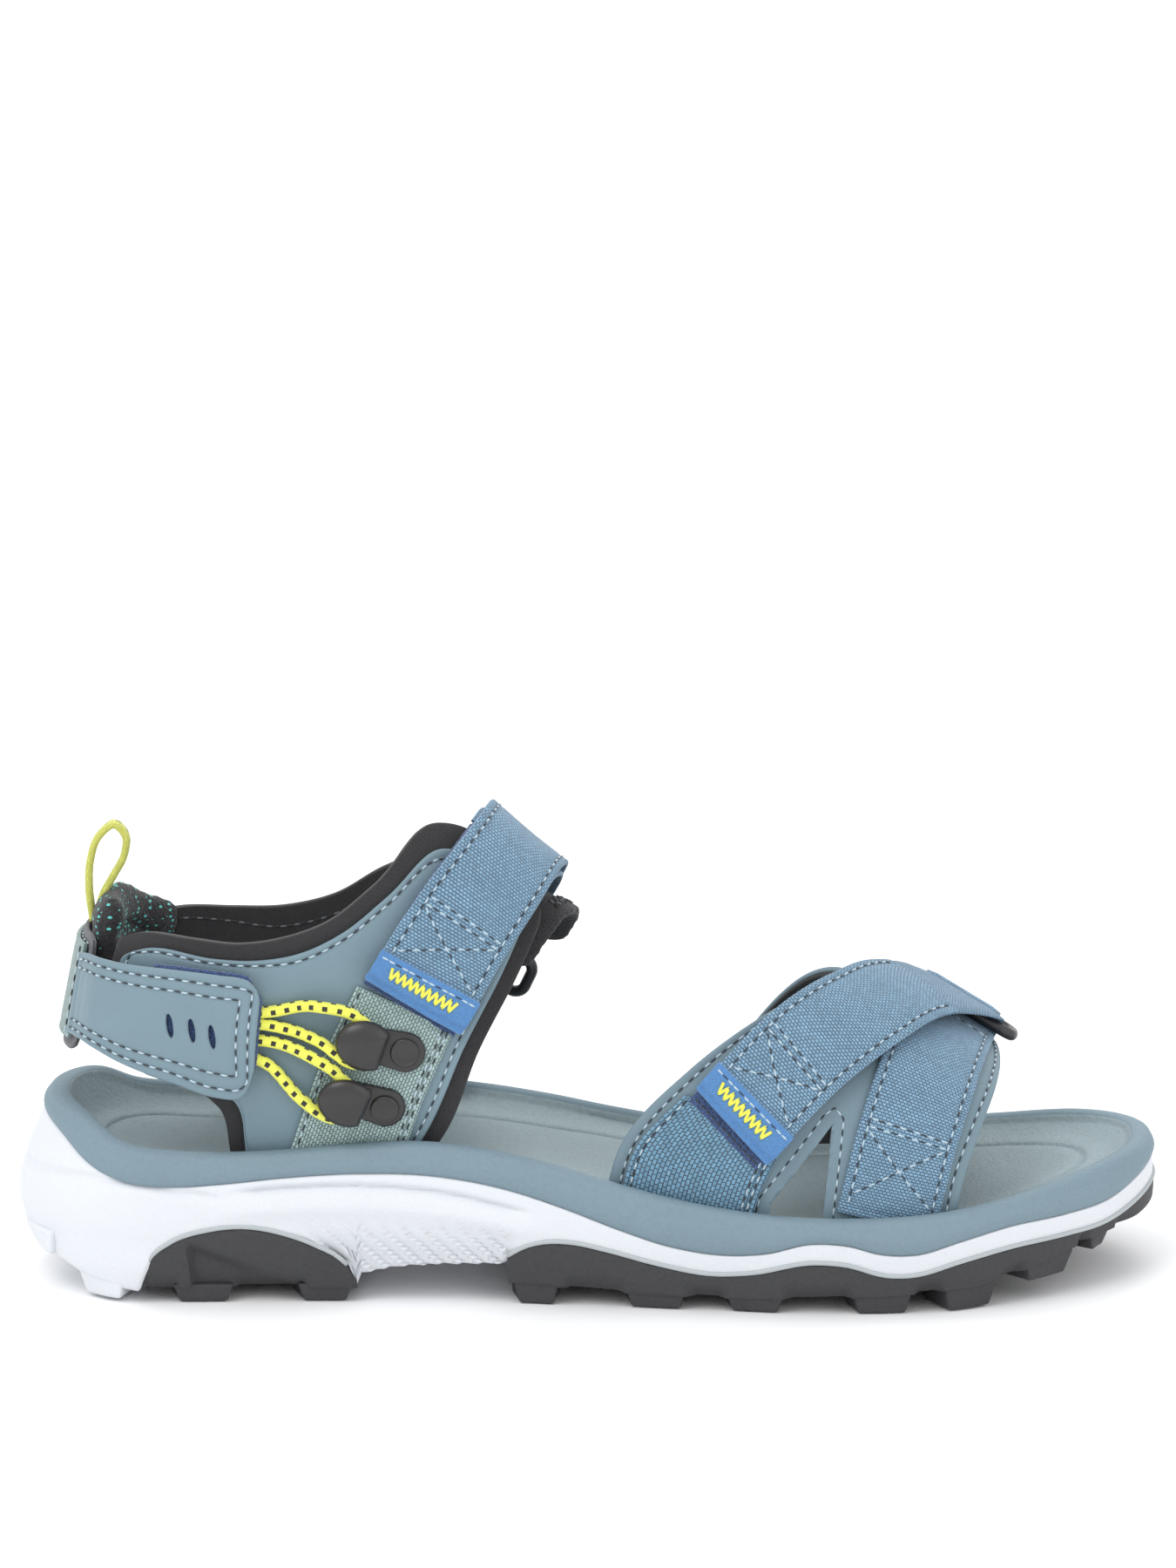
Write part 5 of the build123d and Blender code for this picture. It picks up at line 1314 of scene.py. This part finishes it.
def hooks():
    """Two cord hooks, each a plate with a domed cap, riveted through the quarter."""
    a = np.linspace(0, 2 * np.pi, 64, endpoint=False)
    c, s = np.cos(a), np.sin(a)
    dome_outline = np.column_stack([np.minimum(7.4 * c - 0.8, 4.2 + 0.6 * s), 6.3 * s])
    dome_rings = [(0.45, 1.0), (0.5, 3.2), (0.86, 3.9), (0.97, 4.2), (1.0, 4.7)]
    crown = np.radians([15, 30, 45, 58, 70, 79, 86])
    dome_rings += [(math.cos(t) ** 0.8, 4.7 + 2.6 * math.sin(t)) for t in crown]
    circle = 3.6 * np.column_stack([c, s])
    rivet_rings = [(1.0, 1.0), (1.0, 1.9), (0.97, 2.15), (0.9, 2.3), (0.84, 2.22), (0.8, 2.1), (0.3, 2.12)]
    low = WEB_LIFT + WEBBING + 0.15
    for (post, rivet), name in zip(HOOKS, ("upper", "lower")):
        p, q = (wall_point(*np.array(spot)) for spot in (post, rivet))
        z_axis = normal((p + q) / 2)
        reach = np.linalg.norm(q - p)
        x_axis = unit(q - p - ((q - p) @ z_axis) * z_axis)
        axes = (x_axis, np.cross(z_axis, x_axis), z_axis)
        seat = p + low * z_axis
        rivet_seat = seat + reach * x_axis
        r = np.where(c > 0, 5.1, 4.3)
        plate_outline = np.column_stack([np.where(c > 0, reach, -1.0) + r * c, r * s])
        hook, rivets = f"lace_hook_{name}", "hook_rivets"
        for part, node, outline, rings, origin in (
            (f"hook_plate_{name}", hook, plate_outline, rounded_rings(1.4, 0.16), seat),
            (f"hook_dome_{name}", hook, dome_outline, dome_rings, seat),
            (f"hook_rivet_{name}", rivets, circle, rivet_rings, rivet_seat),
            (f"rivet_back_{name}", rivets, circle, rounded_rings(0.9, 0.2),
             rivet_seat - (low + LINING + 1.0) * z_axis),
        ):
            place(turned_shape(part, outline, rings, (origin, *axes), hook_black), node, node)


# ---------------------------------------------------------------- the sole
COLUMNS = 720
HALF_ROUND = COLUMNS // 2


def plan():
    """The sole's plan outline with its inward directions. Columns k and COLUMNS - k have the same X."""
    a = 2 * np.pi * np.arange(COLUMNS) / COLUMNS
    x = np.cos(a) * LENGTH / 2
    p = np.column_stack([x, curve(x, MIDDLE) + np.sign(np.round(np.sin(a), 9)) * plan_half(x)])
    along = unit(np.roll(p, -4, 0) - np.roll(p, 4, 0))
    return p, np.column_stack([-along[:, 1], along[:, 0]])


PLAN, INWARD = plan()


def ring(z, inset):
    """Points of the side wall at heights z, moved inward by inset: one per column."""
    p = PLAN + np.broadcast_to(inset, len(PLAN))[:, None] * INWARD
    z = np.broadcast_to(z, len(PLAN))
    x = p[:, 0] + curve(z, HEEL_SHIFT) * ease((-60 - p[:, 0]) / 85)
    return np.column_stack([x, p[:, 1], z])


def lofted(name, rows, stations, materials, inner_from=None, across=7, floor=None):
    """Closed body from rings of the side wall, bottom first, for a run of stations along X.

    Rings after inner_from take the second material. floor gives the height of the upper middle.
    """
    rows = np.array(rows)
    shares = np.linspace(0, 1, across + 2)[1:-1]
    loops = []
    for i in stations:
        left, right = rows[:, i], rows[:, (COLUMNS - i) % COLUMNS]
        top = left[-1] + shares[:, None] * (right[-1] - left[-1])
        if floor is not None:
            top[:, 2] = floor(top[:, 0], shares, abs(left[-1, 1] - right[-1, 1]))
        bottom = right[0] + shares[:, None] * (left[0] - right[0])
        loops.append(np.concatenate([left, top, right[::-1], bottom]))
    verts, faces = [], []
    add_body(verts, faces, loops)
    inner = range(inner_from, 2 * len(rows) + across - 1 - inner_from) if inner_from is not None else ()
    kinds = [int(j in inner) for j in range(len(loops[0]))] * (len(loops) - 1) + [0, 0]
    piece = mesh_object(name, verts, faces, materials, face_material=kinds)
    weld(piece)
    return piece


def weld(piece, near=0.02, tiny=0.001):
    """Joins points nearer than near, drops faces smaller than tiny, and smooths the shading."""
    reworked(
        piece,
        lambda work: bmesh.ops.remove_doubles(work, verts=work.verts, dist=near * MM),
        lambda work: bmesh.ops.dissolve_degenerate(work, edges=work.edges, dist=tiny * MM),
    )
    piece.data.polygons.foreach_set("use_smooth", [True] * len(piece.data.polygons))


def crisp(piece, angle=38.0):
    """Smooth shading that keeps edges sharper than angle."""
    piece.data.set_sharp_from_angle(angle=math.radians(angle))


X = PLAN[:, 0]
GROOVE_LINE = [(-90, 28.6), (-75, 29.8), (-58, 30.2), (-35, 28.4), (-17, 24.4)]
HEEL_GROOVE = [(-146, 30), (-125, 31.5), (-108, 30.0), (-92, 27.2)]


def midsole_low():
    """Height of the midsole's lower edge all round."""
    low = curve(X, MIDSOLE_UNDER)
    low = np.where((X > HEEL_PAD_START) & (X < HEEL_PAD_END), curve(X, HEEL_PAD_TOP), low)
    return np.where(X > RUBBER_START, curve(X, RUBBER_TOP), low)


def sculpt(x, z):
    """How far the white wall is cut in at x, z: grooves under the footbed and a fan of ribs at the arch."""
    groove = 1.5 * bell(z - curve(x, GROOVE_LINE), 0.8) * ease((x + 90) / 8) * ease((-13 - x) / 8)
    swell = -bell(z - curve(x, GROOVE_LINE) + 4.5, 3.0) * ease((x + 96) / 12) * ease((-8 - x) / 12)
    back = bell(z - curve(x, HEEL_GROOVE), 1.1) * ease((-88 - x) / 10)
    q = (x + 1.15 * (z - 8) - 0.012 * (z - 8) ** 2) / 4.9
    saw = q - np.floor(q)
    fade = ease((25 - z) / 13) * ease((x + 76) / 12) * ease((-17 - x) / 5)
    ribs = 2.0 * (1 - saw) * fade
    flare = -1.6 * ease((17 - z) / 10) * ease((-96 - x) / 20)
    return groove + swell + back + ribs + flare


def midsole():
    """The white foam, cut in by the grooves and ribs along its side."""
    low, high = midsole_low(), curve(X, FOOTBED_BASE)
    covered = (X > RUBBER_START) | ((X > HEEL_PAD_START) & (X < HEEL_PAD_END))
    low = np.where(covered, np.maximum(low - 1.2, HEEL_PAD_BASE + 0.5), low)
    rows = []
    for t in np.concatenate([[0, 0.012, 0.035], np.linspace(0.06, 0.94, 34), [0.97, 0.99, 1.0]]):
        z = low + (high - low) * t
        edge = 0.9 * np.clip(1 - t / 0.035, 0, 1) ** 2 * ~covered
        edge = edge + 0.55 * np.clip(1 - (1 - t) / 0.03, 0, 1) ** 2
        hidden = 0.9 * covered * np.clip(1 - (z - low) / 1.5, 0, 1)
        rows.append(ring(z, curve(z, SIDE_INSET) + sculpt(X, z) + edge + hidden))
    piece = lofted("midsole_foam", rows, range(HALF_ROUND + 1), [white_foam])
    crisp(piece, 50)
    place(piece, "midsole", "midsole")


def lip(name, start, end, line, node):
    """Thin grey edge of foam that frames the rubber, on both sides of the sole."""
    picks = [k for k in range(COLUMNS) if start < X[k] < end]
    runs, run = [], [picks[0]]
    for k in picks[1:]:
        if k != run[-1] + 1:
            runs.append(run)
            run = []
        run.append(k)
    runs.append(run)
    if len(runs) == 2 and runs[0][0] == 0 and runs[1][-1] == COLUMNS - 1:
        runs = [runs[1] + runs[0]]
    for number, run in enumerate(runs):
        k = np.array(run)
        z = curve(X[k], line) + 0.45
        full = ring(np.interp(np.arange(COLUMNS), np.sort(k), z[np.argsort(k)]), 0.0)
        points = full[k]
        inset = curve(z, SIDE_INSET)
        points[:, :2] += (inset - 0.1)[:, None] * INWARD[k]
        points = smooth_line(points[::3], len(k) // 2)
        place(tube(f"{name}_{number}", points, 0.62, lip_grey, 8), node)


def bed_under(inset):
    """Height of the footbed's floor under each point of a ring."""
    x = X + inset * INWARD[:, 0]
    return curve(x + 3.0 * ease((-60 - x) / 85), FOOTBED_FLOOR)


def dished(x, shares, width):
    """Height of the footbed's middle, a little lower than its sides."""
    return curve(x, FOOTBED_FLOOR) - 0.1 - 0.9 * ease(width / 40) * np.sin(np.pi * shares)


FOOT_GROOVE = [(15.9, -0.25), (16.6, 0.05), (17.1, 0.75), (17.6, 0.75), (18.1, 0.1), (19.5, 0.0), (22, 0.1)]


def footbed():
    """The foam under the foot: an overhanging rim, a sunken floor and a groove round it."""
    base, rim = curve(X, FOOTBED_BASE), curve(X, RIM_TOP)
    crown = np.minimum(3.2, 0.3 * (rim - base))
    shoulder = rim - crown
    rows = []
    for t in (0, 0.03, 0.08, 0.2, 0.35, 0.5, 0.65, 0.8, 0.92, 1.0):
        z = base + (shoulder - base) * t
        edge = 0.6 * (1 - min(1, t / 0.08)) ** 2
        rows.append(ring(z, curve(z, SIDE_INSET) + edge - 0.7 * math.sin(math.pi * t)))
    outer = curve(shoulder, SIDE_INSET)
    radius = 2.9
    for a in np.radians(np.linspace(18, 180, 10)):
        rows.append(ring(shoulder + crown * math.sin(a), outer + radius * (1 - math.cos(a))))
    side_rows = len(rows) - 3
    for k in (0.1, 0.22, 0.36, 0.5, 0.66, 0.82, 1.0):
        drop = 1 - (1 - k) ** 2.1
        inset = outer + 2 * radius + 8.6 * k
        rows.append(ring(shoulder + (bed_under(inset) + 0.4 - shoulder) * drop, inset))
    for inset, depth in FOOT_GROOVE:
        rows.append(ring(bed_under(outer + inset) - depth, outer + inset))
    piece = lofted("footbed_foam", rows, range(HALF_ROUND + 1), [foot_side, foot_top], side_rows, 9, dished)
    crisp(piece, 60)
    place(piece, "footbed", "footbed")


def at_lug(x, lugs):
    """1 where x is on a lug of the edge, 0 between them."""
    on = np.zeros_like(x)
    for start, end in lugs:
        on = np.maximum(on, ease((x - start + 2.5) / 2.5) * ease((end + 2.5 - x) / 2.5))
    return on


def rubber_wall(low, high, lugs, facet=None):
    """Rings of the rubber's side wall, cut in between the lugs."""
    rows = []
    for t in np.concatenate([[0, 0.02, 0.06], np.linspace(0.12, 0.9, 16), [0.95, 0.985, 1.0]]):
        z = low + (high - low) * t
        cut_in = 2.6 * ease((low + 4.5 - z) / 4.5) * (1 - at_lug(X, lugs)) * ease((140 - X) / 8)
        edge = 0.7 * np.clip(1 - t / 0.06, 0, 1) ** 2 + 0.5 * np.clip(1 - (1 - t) / 0.05, 0, 1) ** 2
        if facet is not None:
            cut_in = cut_in + facet(X, z)
        rows.append(ring(z, curve(z, SIDE_INSET) - 0.35 + cut_in + edge))
    return rows


def ramp(x, z):
    """Slanting cut across the heel pad's side, with a sharp upper edge."""
    line = 16.5 - 0.42 * (x + 100)
    return 2.3 * np.clip((line - z) / 2.5, 0, 1) * ease((x + 101) / 2) * ease((-64 - x) / 6)


def edge_block(verts, faces, start, end, side, floor, top, depth=16.0, flush=0.2, shorter=1.6):
    """A lug at the sole's edge: its outer face follows the outline and leans in toward the ground."""
    stations = []
    for share in np.linspace(0, 1, 6):
        x = start + (end - start) * share
        k = int(np.argmin(np.abs(PLAN[:HALF_ROUND, 0] - x)))
        k = k if side == INNER else (COLUMNS - k) % COLUMNS
        p, n = PLAN[k], INWARD[k]
        shift = curve(top, HEEL_SHIFT) * ease((-60 - p[0]) / 85)
        upper, lower = curve(top, SIDE_INSET) + flush, curve(top, SIDE_INSET) + flush + 1.3
        slim = shorter * (1 - 2 * share)
        corners = []
        spots = (upper, top, 0), (depth, top, -2), (depth - 2, floor, -1.5), (lower, floor, slim)
        for inset, z, lean in spots:
            q = p + inset * n
            corners.append((q[0] + shift + lean, q[1], z))
        stations.append(corners)
    add_body(verts, faces, stations)


def hexagon(verts, faces, x, y, floor, top, radius=5.5, narrower=1.0):
    """Adds a six-sided lug that narrows toward the ground."""
    a = np.radians(np.arange(0, 360, 60))
    add_body(verts, faces, [np.stack([x + r * np.cos(a), y + r * np.sin(a), np.full(6, z)], -1)
                            for z, r in ((top, radius), (floor, radius - narrower))])


def chamfered(name, verts, faces, material, width=0.55):
    """A faceted piece with its edges bevelled."""
    piece = mesh_object(name, verts, faces, [material], smooth=False)
    reworked(piece)
    bevel = piece.modifiers.new("bevel", "BEVEL")
    bevel.width = width * MM
    bevel.segments = 2
    return applied(piece)


def outsoles():
    """Both pieces of rubber with their lugs, the midsole's heel blocks, and the pale lips."""
    stations = [i for i in range(HALF_ROUND + 1) if X[i] >= RUBBER_START]
    low, high = curve(X, TREAD_BASE), curve(X, RUBBER_TOP)
    low = np.minimum(low, high - 1.0) - 2.5 * ease((X - 125) / 18)
    piece = lofted("outsole_front", rubber_wall(low, high, EDGE_LUGS), stations, [rubber])
    crisp(piece)
    place(piece, "outsole_forefoot", "outsole_forefoot")
    verts, faces = [], []
    for start, end in EDGE_LUGS:
        middle = (start + end) / 2
        floor = max(0.0, float(curve(middle, TREAD_FLOOR)))
        top = float(curve(middle, TREAD_BASE)) + 1.8
        for side in (OUTER, INNER):
            edge_block(verts, faces, start, end, side, floor, top)
    for x in CENTRE_LUGS:
        floor = max(0.0, float(curve(x, TREAD_FLOOR)))
        for y in (-25.0, -12.5, 0.0, 12.5, 25.0):
            if abs(y) < plan_half(x) - 20:
                hexagon(verts, faces, x - abs(y) * 0.25, float(curve(x, MIDDLE)) + y, floor,
                        float(curve(x, TREAD_BASE)) + 1.5)
    place(chamfered("outsole_front_lugs", verts, faces, rubber), "outsole_forefoot", "outsole_forefoot")
    stations = [i for i in range(HALF_ROUND + 1) if HEEL_PAD_START <= X[i] <= HEEL_PAD_END]
    high = np.maximum(curve(X, HEEL_PAD_TOP), HEEL_PAD_BASE + 0.6)
    low = np.full_like(X, HEEL_PAD_BASE)
    piece = lofted("outsole_back", rubber_wall(low, high, HEEL_LUGS, ramp), stations, [rubber])
    crisp(piece)
    place(piece, "outsole_heel", "outsole_heel")
    verts, faces = [], []
    for start, end in HEEL_LUGS:
        for side in (OUTER, INNER):
            edge_block(verts, faces, start - 2.5, end, side, 0.0, HEEL_PAD_BASE + 1.5)
        middle = (start + end) / 2
        for y in (-12.0, 0.0, 12.0):
            hexagon(verts, faces, middle, float(curve(middle, MIDDLE)) + y, 0.0, HEEL_PAD_BASE + 1.0, 5.2)
    place(chamfered("outsole_back_lugs", verts, faces, rubber), "outsole_heel", "outsole_heel")
    verts, faces = [], []
    for side in (OUTER, INNER):
        edge_block(verts, faces, -131.5, -118.0, side, 0.6, 8.0, 18.0, -1.2)
        edge_block(verts, faces, -143.0, -135.0, side, 9.5, 16.0, 14.0, -1.0)
    place(chamfered("midsole_heel_blocks", verts, faces, white_foam, 0.9), "midsole", "midsole")
    lip("forefoot_lip", RUBBER_START, TOE_X + 1, RUBBER_TOP, "midsole")
    lip("heel_lip", HEEL_PAD_START + 1.5, HEEL_PAD_END - 1.5, HEEL_PAD_TOP, "midsole")


# ---------------------------------------------------------------- the sandal
footbed()
midsole()
outsoles()
quarters()
ankle_line = ankle()
instep(ankle_line)
vamp()
base_line, flap_line = front()
turns(ankle_line, base_line, flap_line)
keeper("ankle_keeper", ankle_line, HALF_ANKLE - 1.5, "ankle_ring_keeper")
keeper("front_keeper", base_line, HALF_STRAP - 1.5, "front_ring_keeper")
heel()
heel_roll()
pull_loop()
cord("bungee_upper", UPPER_LOOP, -73, "bungee_loop_upper")
cord("bungee_lower", LOWER_LOOP, -77, "bungee_loop_lower")
hooks()
for node in ("ankle_ring", "front_ring"):
    frame_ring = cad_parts[node]
    frame_ring.data.materials.clear()
    frame_ring.data.materials.append(ring_black)

# ---------------------------------------------------------------- floor, light and camera
TILT = math.radians(14.0)
LAMPS = {
    "key": ((-0.7, -0.9, 1.5), (0, 0, 0.03), 1.1, 10.5), "fill": ((1.1, -1.0, 0.8), (0, 0, 0.05), 1.2, 2.5),
    "back": ((0.2, 1.2, 1.2), (0, 0, 0.05), 1.0, 6),
}
FLOOR_SPREAD, FLOOR_DROP = 12.0, 0.0003
WORLD_WHITE, WORLD_STRENGTH = colour(250, 251, 252), 1.09
DISTANCE, FRAME_HEIGHT, SENSOR = 1.55, 0.3997, 36.0
AIM_RISE = 0.0755
CENTRE = np.array([0.0, 0.0, 0.0478])


def floor():
    """The ground under the sandal."""
    corners = (-1, -1), (1, -1), (1, 1), (-1, 1)
    verts = [(x * FLOOR_SPREAD, y * FLOOR_SPREAD, -FLOOR_DROP) for x, y in corners]
    piece = mesh_object("floor", np.array(verts) / MM, [(0, 1, 2, 3)], [floor_paint()])
    piece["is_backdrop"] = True


def floor_paint():
    look = Look("floor_paint", 0.75)
    soft = look.noise(look.solid_place((0.02, 0.02, 0.02)), 1.0)
    look.paint(look.mix(soft, colour(251, 251, 252), colour(254, 254, 254)))
    return look.material


def lamp(name, place_at, target, size, power):
    """A soft round light."""
    data = bpy.data.lights.new(name, "AREA")
    data.shape = "DISK"
    data.size = size
    data.energy = power
    light = bpy.data.objects.new(name, data)
    bpy.context.scene.collection.objects.link(light)
    aim(light, place_at, target)


def aim(thing, place_at, target):
    """Places a lamp or camera and turns it to a target."""
    thing.location = Vector(place_at)
    thing.rotation_euler = (Vector(target) - Vector(place_at)).to_track_quat("-Z", "Y").to_euler()


floor()
for lamp_name, settings in LAMPS.items():
    lamp(lamp_name, *settings)
world = bpy.data.worlds.new("studio")
world.use_nodes = True
background = world.node_tree.nodes["Background"]
background.inputs["Color"].default_value = WORLD_WHITE
background.inputs["Strength"].default_value = WORLD_STRENGTH
bpy.context.scene.world = world
bpy.context.scene.view_settings.view_transform = "Standard"

camera_data = bpy.data.cameras.new("camera")
camera_data.sensor_width = SENSOR
camera_data.lens = SENSOR * DISTANCE / FRAME_HEIGHT
camera = bpy.data.objects.new("camera", camera_data)
bpy.context.scene.collection.objects.link(camera)
back_up = np.array([0.0, -math.cos(TILT), math.sin(TILT)])
frame_up = np.array([0.0, math.sin(TILT), math.cos(TILT)])
aim(camera, CENTRE + DISTANCE * back_up, CENTRE + AIM_RISE * frame_up)
bpy.context.scene.camera = camera

bpy.context.view_layer.update()
boxes = {"cad": cad_box, "visual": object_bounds()}
{name: [list(map(float, corner)) for corner in box] for name, box in boxes.items()}
